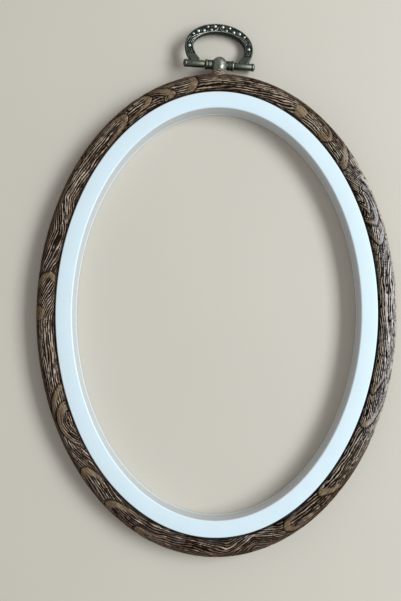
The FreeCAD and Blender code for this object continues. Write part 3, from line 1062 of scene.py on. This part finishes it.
SCROLLS = [
    Scroll([(1.7, 0.78), (2.0, 0.5), (4.4, 0.27), (8.0, 0.19), (12.5, 0.22)], 0.4, 0.42),
    Scroll([(11.3, 0.86), (13.6, 0.66), (15.8, 0.86)], 0.26),
    Scroll([(20, 0.26), (23.5, 0.2), (27, 0.17)], 0.28),
    Scroll([(33, 0.84), (35.8, 0.62), (35.4, 0.4)], 0.26),
    Scroll([(33, 0.17), (42, 0.2), (50, 0.29), (60, 0.42), (71, 0.58)], 0.4, 0.44),
    Scroll([(50, 0.16), (59, 0.2), (68, 0.28), (77, 0.33)], 0.38, 0.42),
    Scroll([(60, 0.68), (68, 0.76), (78, 0.76)], 0.34, 0.4),
    Scroll([(70, 0.42), (76, 0.5), (81, 0.6)], 0.28),
    Scroll([(94, 0.28), (101, 0.36), (107, 0.42)], 0.38, 0.44),
    Scroll([(94, 0.72), (100, 0.62), (106, 0.6)], 0.36, 0.42),
]


@dataclass
class Hanger:
    """The hanger: the cast bail with its beads and scrolls.

    Args:
        centre: the middle of the pin.
        turn_degrees: how far the post stands turned on its shank.
        droop_degrees: how far the bail has dropped towards the table.
    """

    centre: Vector
    turn_degrees: float
    droop_degrees: float
    half_x: float = 14.1
    half_y: float = 10.4
    low_half_y: float = 12.0
    side_width: float = 3.4
    top_width: float = 3.8
    thickness: float = 2.4
    rise: float = 7.596
    foot_x: float = 8.25
    rim_width: float = 0.42
    recess_depth: float = 0.45
    recess_end: float = 108.0
    edge_round: float = 0.4
    knuckle_start: float = 6.25
    knuckle_end: float = 14.45
    knuckle_radius: float = 1.5
    bead_radius: float = 0.74
    small_bead_radius: float = 0.56
    bead_rings: int = 19
    bead_sides: int = 28
    ring_steps: int = 181

    def place(self, drooping: bool) -> Matrix:
        """Where a piece made round the pin goes, in millimetres."""
        turn = Matrix.Rotation(math.radians(self.turn_degrees), 4, "Y")
        droop = Matrix.Rotation(math.radians(-self.droop_degrees if drooping else 0), 4, "X")
        return Matrix.Translation(self.centre) @ turn @ droop

    @property
    def foot_turn(self) -> float:
        """The angle from the bail's top to its foot."""
        return math.acos(-self.rise / self.low_half_y)

    def edge(self, share: np.ndarray, outer: bool) -> np.ndarray:
        """One edge of the bail, from its top (0) to its foot (1), on the +X side."""
        if outer:
            t = share * self.foot_turn
            y = np.where(t < math.pi / 2, self.half_y, self.low_half_y) * np.cos(t)
            return np.stack([self.half_x * np.sin(t), y + self.rise], -1)
        inner_x = self.half_x - self.side_width
        inner_y = self.half_y - self.top_width
        low_y = self.low_half_y - self.side_width
        stop = math.pi - math.asin(self.foot_x / inner_x)
        t = np.minimum(share / 0.93, 1) * stop
        y = np.where(t < math.pi / 2, inner_y, low_y) * np.cos(t)
        points = np.stack([inner_x * np.sin(t), y + self.rise], -1)
        drop = blend_step(share, 0.93, 1)
        points[..., 1] = mix(points[..., 1], np.zeros(drop.shape), drop)
        return points

    def spot(self, degrees: float, share: float, height: float) -> Vector:
        """A point of the bail: degrees from its top, share across, and height."""
        u = np.array([abs(degrees) / math.degrees(self.foot_turn)])
        inner, outer = self.edge(u, False)[0], self.edge(u, True)[0]
        x, y = mix(inner, outer, share)
        return Vector((math.copysign(x, degrees) if degrees else x, y, height))

    def ring_section(self, width: float, sunk: float) -> tuple[list, list]:
        """The ring's section at one place.

        Args:
            width: how wide the ring is there.
            sunk: how deep the recess between its rims is there.

        Returns:
            Pairs of place across from the inner edge and height, and their polish.
        """
        top, r = self.thickness / 2, self.edge_round
        angles = np.radians([0, 30, 60, 90])
        side = [(r - r * math.cos(a), top - r + r * math.sin(a)) for a in angles]
        front = side + [(self.rim_width, top), (self.rim_width + 0.16, top - sunk)]
        floor = [(width * share, top - sunk) for share in (0.35, 0.5, 0.65)]
        back = [(x, -z) for x, z in side]
        half = front + floor
        section = half + [(width - x, z) for x, z in reversed(front)]
        section += [(width - x, z) for x, z in back] + back[::-1]
        bright = [0.0, 0.05, 0.35, 0.8, 0.7, 0.0]
        polish = bright + [0.0] * 3 + bright[::-1] + [0.0] * 8
        return section, polish

    def ring(self, parts: MeshParts) -> None:
        """Adds the bail's ring with its rims, recess and feet."""
        along = np.linspace(-1, 1, self.ring_steps)
        share = np.abs(along)
        inner, outer = self.edge(share, False), self.edge(share, True)
        side = np.where(along < 0, -1.0, 1.0)
        inner[:, 0] *= side
        outer[:, 0] *= side
        width = np.linalg.norm(outer - inner, axis=1)
        degrees = share * math.degrees(self.foot_turn)
        low = blend_step(degrees, self.recess_end - 4, self.recess_end)
        sunk = self.recess_depth * (1 - low)
        rows, polish = [], []
        for index in range(len(along)):
            section, bright = self.ring_section(width[index], sunk[index])
            across = np.array([place for place, _ in section])[:, None] / width[index]
            flat = inner[index] + (outer[index] - inner[index]) * across
            height = np.array([[z] for _, z in section])
            rows.append(np.concatenate([flat, height], 1))
            polish.append(mix(np.array(bright), np.full(len(bright), 0.45), 0.8 * low[index]))
        start, count = parts.count(), len(rows[0])
        parts.grid(placed(np.stack(rows), self.place(True)), False, True, np.stack(polish))
        parts.cap(list(range(start, start + count)))
        last = start + (len(along) - 1) * count
        parts.cap(list(range(last, last + count))[::-1])

    def knuckles(self, parts: MeshParts) -> None:
        """Adds the two knuckles, each with a rim and a fine groove at its end."""
        r = self.knuckle_radius
        start, end = self.knuckle_start, self.knuckle_end
        profile = [
            (start, r - 0.18), (start + 0.06, r - 0.06), (start + 0.2, r), (end - 1.35, r),
            (end - 1.22, r - 0.07), (end - 1.06, r - 0.07), (end - 0.92, r + 0.06),
            (end - 0.7, r + 0.07), (end - 0.25, r + 0.06), (end - 0.07, r - 0.02),
            (end, r - 0.16), (end, 0.7),
        ]
        polish = [0.3, 0.6, 0.58, 0.58, 0.2, 0.2, 0.55, 0.6, 0.6, 0.5, 0.35, 0.2]
        for side in (0, math.pi):
            turn = Matrix.Rotation(side, 4, "Z")
            parts.lathe(profile, 40, self.place(True) @ turn, polish)

    def build_bail(self) -> bpy.types.Object:
        """Makes the cast bail without its ornament."""
        parts = MeshParts()
        self.ring(parts)
        self.knuckles(parts)
        piece = parts.build("cast_bail", 48)
        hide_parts("hanger_bail")
        return settle(piece, Body.BAIL)

    def bead(self, parts: MeshParts, centre: Vector, radius: float) -> None:
        """Adds a bead, round and rubbed bright on top."""
        tilt = np.radians(np.linspace(3, 177, self.bead_rings))
        profile = [(-radius * math.cos(t), radius * math.sin(t)) for t in tilt]
        upright = Matrix.Translation(centre) @ Matrix.Rotation(-math.pi / 2, 4, "Y")
        polish = blend_step(np.linspace(-1, 1, self.bead_rings), -0.6, 0.1)
        parts.lathe(profile, self.bead_sides, self.place(True) @ upright, polish)

    def scroll(self, parts: MeshParts, stroke: Scroll, side: int) -> None:
        """Adds a raised stroke on the floor of the recess, tapered at its ends."""
        knots = [self.spot(side * degrees, share, 0) for degrees, share in stroke.path]
        line = smooth_line(np.array([[k.x, k.y] for k in knots]), 8)
        way = np.gradient(line, axis=0)
        way /= np.linalg.norm(way, axis=1, keepdims=True)
        aside = np.stack([-way[:, 1], way[:, 0]], -1)
        share = np.linspace(0, 1, len(line))
        taper = np.clip(np.sin(np.pi * np.clip(share, 0.06, 0.94)) * 1.6, 0, 1)
        floor = self.thickness / 2 - self.recess_depth
        rows = []
        for angle in np.radians([180, 150, 115, 90, 65, 30, 0]):
            flat = line + aside * (math.cos(angle) * stroke.width / 2 * taper)[:, None]
            height = floor - 0.1 + (math.sin(angle) * (stroke.height + 0.1) * taper)
            rows.append(np.concatenate([flat, height[:, None]], 1))
        net = placed(np.stack(rows, 1), self.place(True))
        parts.grid(net[::-1], False, True, np.array([0.0, 0.3, 0.8, 0.95, 0.8, 0.3, 0.0]))

    def build_ornament(self) -> bpy.types.Object:
        """Makes the beads and scrolls that are cast on the bail's front."""
        parts = MeshParts()
        floor = self.thickness / 2 - self.recess_depth
        for side in (-1, 1):
            for degrees, share, full_sized in BEADS:
                radius = self.bead_radius if full_sized else self.small_bead_radius
                self.bead(parts, self.spot(side * degrees, share, floor), radius)
            for stroke in SCROLLS:
                self.scroll(parts, stroke, side)
        piece = parts.build("bail_ornament", 60)
        return settle(piece, Body.BAIL)


@dataclass
class Post:
    """The turned post that the hanger swings on, bored for the pin through it.

    Args:
        centre: the middle of the pin.
        turn_degrees: how far the post stands turned on its shank.
    """

    centre: Vector
    turn_degrees: float
    half_length: float = 5.9
    sleeve_radius: float = 1.85
    flange_radius: float = 2.0
    flange_length: float = 0.9
    bore_radius: float = 0.86
    knob_radius: float = 3.2
    dome_height: float = 3.35
    neck_radius: float = 3.0
    neck_end: float = -2.38
    shank_radius: float = 1.2
    shank_end: float = -6.4
    drill_radius: float = 1.5
    knob_sides: int = 64
    sleeve_sides: int = 56

    def place(self) -> Matrix:
        """Where the post goes, in millimetres."""
        turn = Matrix.Rotation(math.radians(self.turn_degrees), 4, "Y")
        return Matrix.Translation(self.centre) @ turn

    def add_knob(self, parts: MeshParts) -> None:
        """Adds the domed knob and its shank, open where the pin passes through."""
        neck, shank, ball = self.neck_radius, self.shank_radius, self.knob_radius
        dome = [
            (self.dome_height * math.sin(t), ball * math.cos(t))
            for t in np.radians(np.linspace(0, 88.5, 20))
        ]
        flank = [
            (y, mix(neck, ball, blend_step(np.array(y), self.neck_end, self.neck_end / 2)))
            for y in np.linspace(self.neck_end, 0, 12)[:-1]
        ]
        stem = [(self.shank_end, 0.3), (self.shank_end + 1.0, shank), (self.neck_end, shank)]
        upright = Matrix.Rotation(math.pi / 2, 4, "Z")
        piece = MeshParts()
        polish = [0.2] * 3 + [0.7] * len(flank) + [0.7] * len(dome)
        piece.lathe(stem + flank + dome, self.knob_sides, upright, polish)
        points = np.concatenate(piece.points)
        kept = []
        for face in piece.faces:
            middle = points[list(face)].mean(axis=0)
            drilled = math.hypot(middle[1], middle[2]) < self.drill_radius and abs(middle[0]) > 1
            if not drilled:
                kept.append(tuple(corner + parts.count() for corner in face))
        parts.points.append(placed(points, self.place()))
        parts.polish.extend(piece.polish)
        parts.faces.extend(kept)

    def sleeve_profile(self) -> tuple[list, list]:
        """One sleeve's outline from inside the knob to its end, and its polish."""
        start = self.half_length - self.flange_length
        rows = [
            (2.3, self.bore_radius, 0.0), (2.3, self.sleeve_radius, 0.0),
            (3.1, self.sleeve_radius, 0.3),
            (3.2, self.sleeve_radius - 0.08, 0.05), (3.34, self.sleeve_radius - 0.08, 0.05),
            (3.44, self.sleeve_radius, 0.48), (start - 0.3, self.sleeve_radius, 0.48),
            (start - 0.16, self.sleeve_radius - 0.14, 0.0),
            (start, self.sleeve_radius - 0.14, 0.0),
            (start + 0.05, self.flange_radius - 0.06, 0.5),
            (start + 0.14, self.flange_radius, 0.65),
            (self.half_length - 0.2, self.flange_radius, 0.65),
            (self.half_length - 0.04, self.flange_radius - 0.12, 0.6),
            (self.half_length, self.flange_radius - 0.24, 0.45),
            (self.half_length, self.bore_radius, 0.1),
        ]
        return [row[:2] for row in rows], [row[2] for row in rows]

    def build(self) -> bpy.types.Object:
        """Makes the post: two bored sleeves, a domed knob and a shank."""
        parts = MeshParts()
        profile, polish = self.sleeve_profile()
        angles = -np.arange(self.sleeve_sides) * FULL_TURN / self.sleeve_sides
        for side in (0, math.pi):
            net = [[(x, r * math.cos(a), r * math.sin(a)) for a in angles] for x, r in profile]
            place = self.place() @ Matrix.Rotation(side, 4, "Z")
            parts.grid(placed(np.array(net), place), True, True, np.reshape(polish, (-1, 1)))
        self.add_knob(parts)
        piece = parts.build("turned_post", 42)
        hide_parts("hanger_post")
        return settle(piece, Body.OUTER)


class Nodes:
    """Wires the nodes of one tree."""

    def __init__(self, tree: bpy.types.NodeTree) -> None:
        """Keeps the tree that the nodes go in."""
        self.tree = tree

    def add(self, kind: str, **settings: object) -> bpy.types.Node:
        """Adds a node and sets its options."""
        node = self.tree.nodes.new(kind)
        for name, value in settings.items():
            setattr(node, name, value)
        return node

    def feed(self, socket: bpy.types.NodeSocket, value: object) -> None:
        """Links an output to a socket, or sets the socket's own value."""
        if isinstance(value, bpy.types.NodeSocket):
            self.tree.links.new(value, socket)
        elif isinstance(value, tuple) and len(value) == 3 and socket.type == "RGBA":
            socket.default_value = (*value, 1.0)
        else:
            socket.default_value = value

    def math(self, operation: str, *values: object, clamp: bool = False) -> bpy.types.NodeSocket:
        """The result of a sum of the named kind."""
        node = self.add("ShaderNodeMath", operation=operation, use_clamp=clamp)
        for socket, value in zip(node.inputs, values):
            self.feed(socket, value)
        return node.outputs[0]

    def times(self, first: object, second: object, clamp: bool = False) -> bpy.types.NodeSocket:
        """One value times another."""
        return self.math("MULTIPLY", first, second, clamp=clamp)

    def rest(self, value: object) -> bpy.types.NodeSocket:
        """What is missing from a value to 1."""
        return self.math("SUBTRACT", 1.0, value)

    def step(self, value: object, low: object, high: object) -> bpy.types.NodeSocket:
        """A smooth step from 0 at low to 1 at high."""
        node = self.add("ShaderNodeMapRange", interpolation_type="SMOOTHSTEP")
        for name, what in (("Value", value), ("From Min", low), ("From Max", high)):
            self.feed(node.inputs[name], what)
        return node.outputs[0]

    def span(self, value: object, low: float, high: float) -> bpy.types.NodeSocket:
        """A value of 0 to 1, laid out from low to high."""
        return self.math("MULTIPLY_ADD", value, high - low, low)

    def colour(self, share: object, first: object, second: object) -> bpy.types.NodeSocket:
        """Two colours mixed by a share."""
        node = self.add("ShaderNodeMix", data_type="RGBA")
        for index, value in ((0, share), (6, first), (7, second)):
            self.feed(node.inputs[index], value)
        return node.outputs[2]

    def noise(self, vector: object, scale: object, detail: float) -> bpy.types.NodeSocket:
        """Noise from 0 to 1, in the vector's own units."""
        node = self.add("ShaderNodeTexNoise")
        for name, value in (("Vector", vector), ("Scale", scale), ("Detail", detail)):
            self.feed(node.inputs[name], value)
        return node.outputs[0]

    def vector(self, x: object, y: object, z: object) -> bpy.types.NodeSocket:
        """A vector put together from three values."""
        node = self.add("ShaderNodeCombineXYZ")
        for socket, value in zip(node.inputs, (x, y, z)):
            self.feed(socket, value)
        return node.outputs[0]

    def place(self) -> bpy.types.NodeSocket:
        """Where on the object a point lies, in metres."""
        return self.add("ShaderNodeTexCoord").outputs["Object"]

    def mark(self, name: str) -> bpy.types.NodeSocket:
        """A value that the mesh carries."""
        return self.add("ShaderNodeAttribute", attribute_name=name).outputs["Fac"]

    def group(self, tree: bpy.types.NodeTree, **values: object) -> bpy.types.Node:
        """Places a shared effect and feeds its inputs by name."""
        node = self.add("ShaderNodeGroup", node_tree=tree)
        for name, value in values.items():
            self.feed(node.inputs[name.replace("_", " ").capitalize()], value)
        return node


@dataclass
class Effects:
    """The effects that several materials share, each built once."""

    speckle: bpy.types.NodeTree = field(init=False)
    dust: bpy.types.NodeTree = field(init=False)

    def __post_init__(self) -> None:
        """Builds the shared node groups."""
        self.speckle = self.build_speckle()
        self.dust = self.build_dust()

    def new_group(self, name: str, inputs: list[str], outputs: list[str]) -> tuple:
        """Starts a node group.

        Args:
            name: the group's name.
            inputs: names of its number inputs.
            outputs: names of its number outputs.

        Returns:
            The group, a helper for its nodes, and its input and output nodes.
        """
        tree = bpy.data.node_groups.new(name, "ShaderNodeTree")
        for label in inputs:
            tree.interface.new_socket(label, in_out="INPUT", socket_type="NodeSocketFloat")
        for label in outputs:
            tree.interface.new_socket(label, in_out="OUTPUT", socket_type="NodeSocketFloat")
        nodes = Nodes(tree)
        return tree, nodes, nodes.add("NodeGroupInput"), nodes.add("NodeGroupOutput")

    def build_speckle(self) -> bpy.types.NodeTree:
        """Fine unevenness: a tone, and a height for the bump.

        Its inputs are the speckles per metre and the share of broad blotches.
        """
        tree, nodes, given, result = self.new_group(
            "fine_speckle", ["Per metre", "Blotches"], ["Tone", "Height"]
        )
        place = nodes.place()
        fine = nodes.noise(place, given.outputs["Per metre"], 3.0)
        wide = nodes.noise(place, nodes.times(given.outputs["Per metre"], 0.07), 2.0)
        keep = nodes.rest(given.outputs["Blotches"])
        tone = nodes.times(fine, keep)
        tone = nodes.math("MULTIPLY_ADD", wide, given.outputs["Blotches"], tone)
        nodes.feed(result.inputs["Tone"], nodes.step(tone, 0.3, 0.7))
        nodes.feed(result.inputs["Height"], fine)
        return tree

    def build_dust(self) -> bpy.types.NodeTree:
        """Faint dust that has settled on what faces up, as a mask."""
        tree, nodes, given, result = self.new_group("settled_dust", ["Amount"], ["Mask"])
        facing = nodes.add("ShaderNodeSeparateXYZ")
        geometry = nodes.add("ShaderNodeNewGeometry")
        nodes.feed(facing.inputs[0], geometry.outputs["Normal"])
        up = nodes.step(facing.outputs["Z"], 0.55, 1.0)
        patch = nodes.step(nodes.noise(nodes.place(), 160.0, 4.0), 0.42, 0.72)
        mask = nodes.times(up, patch)
        mask = nodes.times(mask, given.outputs["Amount"], clamp=True)
        nodes.feed(result.inputs["Mask"], mask)
        return tree


def start_material(name: str, **settings: float) -> tuple:
    """Starts a material.

    Args:
        name: its name.
        settings: plain values for the shader's sockets, underscores for spaces.

    Returns:
        The material, the helper for its nodes, and its shader.
    """
    material = bpy.data.materials.new(name)
    material.use_nodes = True
    shader = material.node_tree.nodes["Principled BSDF"]
    for label, value in settings.items():
        words = label.replace("_", " ").title().replace("Ior", "IOR")
        shader.inputs[words].default_value = value
    return material, Nodes(material.node_tree), shader


def add_bump(nodes: Nodes, shader: bpy.types.Node, height: object, distance: float) -> None:
    """Lets a height roughen the shader's surface.

    Args:
        nodes: the material's helper.
        shader: its shader.
        height: what is raised, from 0 to 1.
        distance: how high 1 stands, in metres.
    """
    bump = nodes.add("ShaderNodeBump")
    bump.inputs["Distance"].default_value = distance
    nodes.feed(bump.inputs["Height"], height)
    nodes.feed(shader.inputs["Normal"], bump.outputs[0])


@dataclass(frozen=True)
class BarkVinyl:
    """Soft vinyl moulded as bark: brown in the grooves, tan where it stands up."""

    groove: Colour = (0.011, 0.004, 0.0015)
    ridge: Colour = (0.118, 0.069, 0.038)
    bright_ridge: Colour = (0.54, 0.415, 0.30)
    # grey painted sheen: the lamp's reflection, painted on the right half's outer side
    weathered: Colour = (0.52, 0.52, 0.56)
    rim: Colour = (0.34, 0.225, 0.12)
    dull_rim: Colour = (0.17, 0.108, 0.058)
    pit: Colour = (0.06, 0.033, 0.018)
    roughness: Span = (0.9, 0.55)
    gloss: float = 1.0

    def material(self, effects: Effects) -> bpy.types.Material:
        """Makes the material.

        Args:
            effects: the shared effects.

        Returns:
            The finished material.
        """
        material, nodes, shader = start_material(
            "bark_vinyl", ior=1.5, specular_ior_level=0.1, coat_roughness=0.5, coat_ior=1.65
        )
        strand, rim, crease_and_shade = nodes.mark("strand"), nodes.mark("rim"), nodes.mark("crease_and_shade")
        along = nodes.times(nodes.mark("along"), 0.75)
        across = nodes.times(nodes.mark("across"), 3.0)
        fray = nodes.noise(nodes.vector(along, across, 0.0), 1.0, 3.0)
        uneven = nodes.math("MULTIPLY_ADD", nodes.math("SUBTRACT", fray, 0.5), 0.75, strand)
        ridge = nodes.step(uneven, 0.46, 0.70)
        # the tone carries painted light and shade along the band, as well as its uneven colour
        tone = nodes.step(nodes.mark("tone"), *TONE_SPAN)
        # painted sheen: ridges and rims are greyed where the lamp's reflection is painted
        sheen_share = nodes.times(nodes.mark("weathered"), 0.66)
        colour = nodes.colour(tone, self.ridge, self.bright_ridge)
        colour = nodes.colour(sheen_share, colour, self.weathered)
        colour = nodes.colour(ridge, self.groove, colour)
        speck = nodes.group(effects.speckle, per_metre=1700.0, blotches=0.3)
        pitted = nodes.rest(nodes.step(speck.outputs["Tone"], 0.05, 0.5))
        lined = nodes.times(nodes.rest(ridge), 0.28)
        spread = nodes.vector(nodes.mark("along"), nodes.mark("across"), 0.0)
        vein = nodes.math("ABSOLUTE", nodes.math("SUBTRACT", nodes.noise(spread, 0.85, 2.0), 0.5))
        vein = nodes.rest(nodes.step(vein, 0.0, 0.055))
        pitted = nodes.math("MULTIPLY_ADD", pitted, 0.55, lined)
        pitted = nodes.math("MULTIPLY_ADD", vein, 0.4, pitted, clamp=True)
        smooth = nodes.colour(tone, self.dull_rim, self.rim)
        smooth = nodes.colour(sheen_share, smooth, self.weathered)
        colour = nodes.colour(rim, colour, nodes.colour(pitted, smooth, self.pit))
        # creases are darkened to the groove colour: dark paint and painted shade
        colour = nodes.colour(nodes.times(crease_and_shade, 0.94), colour, self.groove)
        dust = nodes.group(effects.dust, amount=0.06)
        colour = nodes.colour(dust.outputs["Mask"], colour, (0.5, 0.46, 0.42))
        nodes.feed(shader.inputs["Base Color"], colour)
        high = nodes.math("MAXIMUM", ridge, rim)
        nodes.feed(shader.inputs["Roughness"], nodes.span(high, *self.roughness))
        bare = nodes.rest(nodes.math("MAXIMUM", crease_and_shade, pitted))
        gloss = nodes.times(nodes.times(high, bare), self.gloss)
        gloss = nodes.times(gloss, nodes.span(rim, 1.0, 0.45), clamp=True)
        outer = nodes.step(nodes.mark("across"), 5.5, 8.5)
        outer = nodes.times(outer, nodes.rest(nodes.mark("weathered")))
        gloss = nodes.times(gloss, nodes.span(outer, 1.0, 0.15))
        nodes.feed(shader.inputs["Coat Weight"], gloss)
        worn = nodes.times(fray, nodes.span(rim, 1.0, 0.3))
        height = nodes.math("MULTIPLY_ADD", speck.outputs["Height"], 0.3, worn)
        add_bump(nodes, shader, height, 0.00012)
        return material


@dataclass(frozen=True)
class WhitePlastic:
    """Stiff white plastic with a satin skin."""

    colour: Colour = (0.775, 0.91, 0.985)
    grey: Colour = (0.64, 0.75, 0.81)
    # the grey of the painted shade on the hoop's upright walls
    wall: Colour = (0.59, 0.61, 0.61)
    roughness: Span = (0.30, 0.42)

    def material(self, effects: Effects) -> bpy.types.Material:
        """Makes the material.

        Args:
            effects: the shared effects.

        Returns:
            The finished material.
        """
        material, nodes, shader = start_material("white_plastic", ior=1.49)
        speck = nodes.group(effects.speckle, per_metre=900.0, blotches=0.6)
        tint = nodes.span(speck.outputs["Tone"], 0.0, 0.16)
        colour = nodes.colour(tint, self.colour, self.grey)
        # painted shade: where the surface stands upright, the walls are greyed so that they are
        # not brighter than the face
        facing = nodes.add("ShaderNodeSeparateXYZ")
        nodes.feed(facing.inputs[0], nodes.add("ShaderNodeNewGeometry").outputs["Normal"])
        upright = nodes.rest(nodes.step(facing.outputs["Z"], 0.2, 0.75))
        colour = nodes.colour(upright, colour, self.wall)
        stretch = nodes.add("ShaderNodeMapping")
        nodes.feed(stretch.inputs["Vector"], nodes.place())
        stretch.inputs["Scale"].default_value = (160.0, 2600.0, 200.0)
        stretch.inputs["Rotation"].default_value = (0.0, 0.0, 0.5)
        scratch = nodes.noise(stretch.outputs[0], 1.0, 2.0)
        scratch = nodes.step(scratch, 0.68, 0.78)
        colour = nodes.colour(nodes.times(scratch, 0.12), colour, (0.40, 0.44, 0.46))
        dust = nodes.group(effects.dust, amount=0.05)
        colour = nodes.colour(dust.outputs["Mask"], colour, (0.5, 0.48, 0.45))
        nodes.feed(shader.inputs["Base Color"], colour)
        low, high = self.roughness
        nodes.feed(shader.inputs["Roughness"], nodes.span(speck.outputs["Tone"], low, high))
        height = nodes.math("SUBTRACT", speck.outputs["Height"], nodes.times(scratch, 0.5))
        add_bump(nodes, shader, height, 0.00002)
        return material


@dataclass(frozen=True)
class AntiqueMetal:
    """Cast metal, dark in its hollows and rubbed bright where it stands up.

    Args:
        name: the material's name.
        handled: how rubbed it is where the mesh carries no polish.
    """

    name: str
    handled: float
    patina: Colour = (0.018, 0.026, 0.022)
    body: Colour = (0.125, 0.135, 0.105)
    bright: Colour = (0.64, 0.65, 0.59)

    def material(self, effects: Effects) -> bpy.types.Material:
        """Makes the material.

        Args:
            effects: the shared effects.

        Returns:
            The finished material.
        """
        material, nodes, shader = start_material(self.name)
        speck = nodes.group(effects.speckle, per_metre=1300.0, blotches=0.5)
        polish = nodes.math("ADD", nodes.mark("polish"), self.handled)
        uneven = nodes.span(speck.outputs["Tone"], -0.16, 0.16)
        worn = nodes.math("ADD", polish, uneven)
        colour = nodes.colour(nodes.step(worn, 0.05, 0.5), self.patina, self.body)
        colour = nodes.colour(nodes.step(worn, 0.5, 1.0), colour, self.bright)
        dust = nodes.group(effects.dust, amount=0.04)
        colour = nodes.colour(dust.outputs["Mask"], colour, (0.35, 0.34, 0.30))
        nodes.feed(shader.inputs["Base Color"], colour)
        nodes.feed(shader.inputs["Metallic"], nodes.span(nodes.step(worn, 0.0, 0.4), 0.75, 1.0))
        nodes.feed(shader.inputs["Roughness"], nodes.span(nodes.step(worn, 0.1, 0.9), 0.5, 0.41))
        add_bump(nodes, shader, speck.outputs["Height"], 0.00005)
        return material


@dataclass
class Studio:
    """A pale floor, soft light from the right, and the photograph's view."""

    floor_half: float = 3.0
    floor_height: float = -0.00005
    floor_colour: Colour = (0.68, 0.62, 0.54)
    eye: tuple[float, float, float] = (-4.28, -7.65, 275.55)
    look_degrees: tuple[float, float, float] = (2.554, 0.414, 0.755)
    lens: float = 40.29
    key_from: tuple[float, float, float] = (0.87, 0.12, 0.85)
    key_size: tuple[float, float] = (0.98, 0.42)
    key_power: float = 14.8
    key_colour: Colour = (0.88, 0.97, 1.0)
    sky: Colour = (0.98, 0.98, 0.97)
    sky_strength: float = 0.37

    def build(self) -> None:
        """Makes the floor, the light and the camera."""
        self.lay_floor()
        self.hang_light()
        self.set_camera()
        bpy.context.scene.view_settings.view_transform = "Standard"

    def lay_floor(self) -> None:
        """Lays the plain pale floor."""
        half = self.floor_half
        mesh = bpy.data.meshes.new("floor")
        corners = [(-half, -half, 0), (half, -half, 0), (half, half, 0), (-half, half, 0)]
        mesh.from_pydata(corners, [], [(0, 1, 2, 3)])
        floor = add_object("floor", mesh)
        floor.location.z = self.floor_height
        material, nodes, shader = start_material("pale_floor", roughness=0.6)
        tone = nodes.noise(nodes.place(), 14.0, 4.0)
        darker = tuple(0.94 * value for value in self.floor_colour)
        nodes.feed(shader.inputs["Base Color"], nodes.colour(tone, self.floor_colour, darker))
        floor.data.materials.append(material)

    def hang_light(self) -> None:
        """Hangs the large soft lamp and fills in from all round."""
        lamp = bpy.data.lights.new("window_light", "AREA")
        lamp.shape = "RECTANGLE"
        lamp.size, lamp.size_y = self.key_size
        lamp.energy, lamp.color = self.key_power, self.key_colour
        holder = add_object("window_light", lamp)
        holder.location = self.key_from
        holder.rotation_mode = "QUATERNION"
        holder.rotation_quaternion = (-Vector(self.key_from)).to_track_quat("-Z", "Y")
        world = bpy.data.worlds.new("pale_room")
        world.use_nodes = True
        nodes = Nodes(world.node_tree)
        back = world.node_tree.nodes["Background"]
        nodes.feed(back.inputs["Color"], self.sky)
        back.inputs["Strength"].default_value = self.sky_strength
        bpy.context.scene.world = world

    def set_camera(self) -> None:
        """Sets the camera where the photograph was taken from."""
        camera = bpy.data.cameras.new("camera")
        camera.lens, camera.sensor_width = self.lens, 36.0
        camera.clip_start, camera.clip_end = 0.01, 20.0
        holder = add_object("camera", camera)
        holder.location = Vector(self.eye) * MM
        holder.rotation_euler = Euler([math.radians(a) for a in self.look_degrees], "XYZ")
        bpy.context.scene.camera = holder


@dataclass
class EmbroideryHoop:
    """The whole hoop: the white hoop, the bark band round it, and the hanger."""

    seat: SeatOval
    hoop: WhiteHoop
    band: BarkBand
    post: Post
    hanger: Hanger

    def dress(self, effects: Effects) -> None:
        """Builds every piece and gives it its finish.

        Args:
            effects: the shared effects.
        """
        cast = AntiqueMetal("cast_metal", 0.0).material(effects)
        riveted = AntiqueMetal("riveted_metal", 0.12).material(effects)
        pieces = [
            (self.hoop.build(), WhitePlastic().material(effects)),
            (self.band.build(), BarkVinyl().material(effects)),
            (self.hanger.build_bail(), cast),
            (self.hanger.build_ornament(), cast),
            (self.post.build(), cast),
        ]
        for piece, material in pieces:
            piece.data.materials.append(material)
        pin = frame["nodes"]["hinge_pin"]
        pin.data.materials.clear()
        pin.data.materials.append(riveted)
        log.info("hinge_pin: dressed")


def main() -> None:
    """Builds the hoop, dresses it, and sets the floor, light and camera."""
    logging.basicConfig(level=logging.INFO, format="%(name)s: %(message)s")
    seat = SeatOval(64.0, 88.6)
    hinge = next(joint for joint in frame["joints"] if joint["type"] == "hinge")
    centre = Vector(hinge["pos_m"]) / MM
    band = BarkBand(seat, high_z=10.4, outer=8.5)
    post = Post(centre, turn_degrees=9.0)
    hanger = Hanger(centre, turn_degrees=9.0, droop_degrees=8.121)
    EmbroideryHoop(seat, WhiteHoop(seat, depth=9.0), band, post, hanger).dress(Effects())
    Studio().build()


if __name__ == "__main__":
    main()
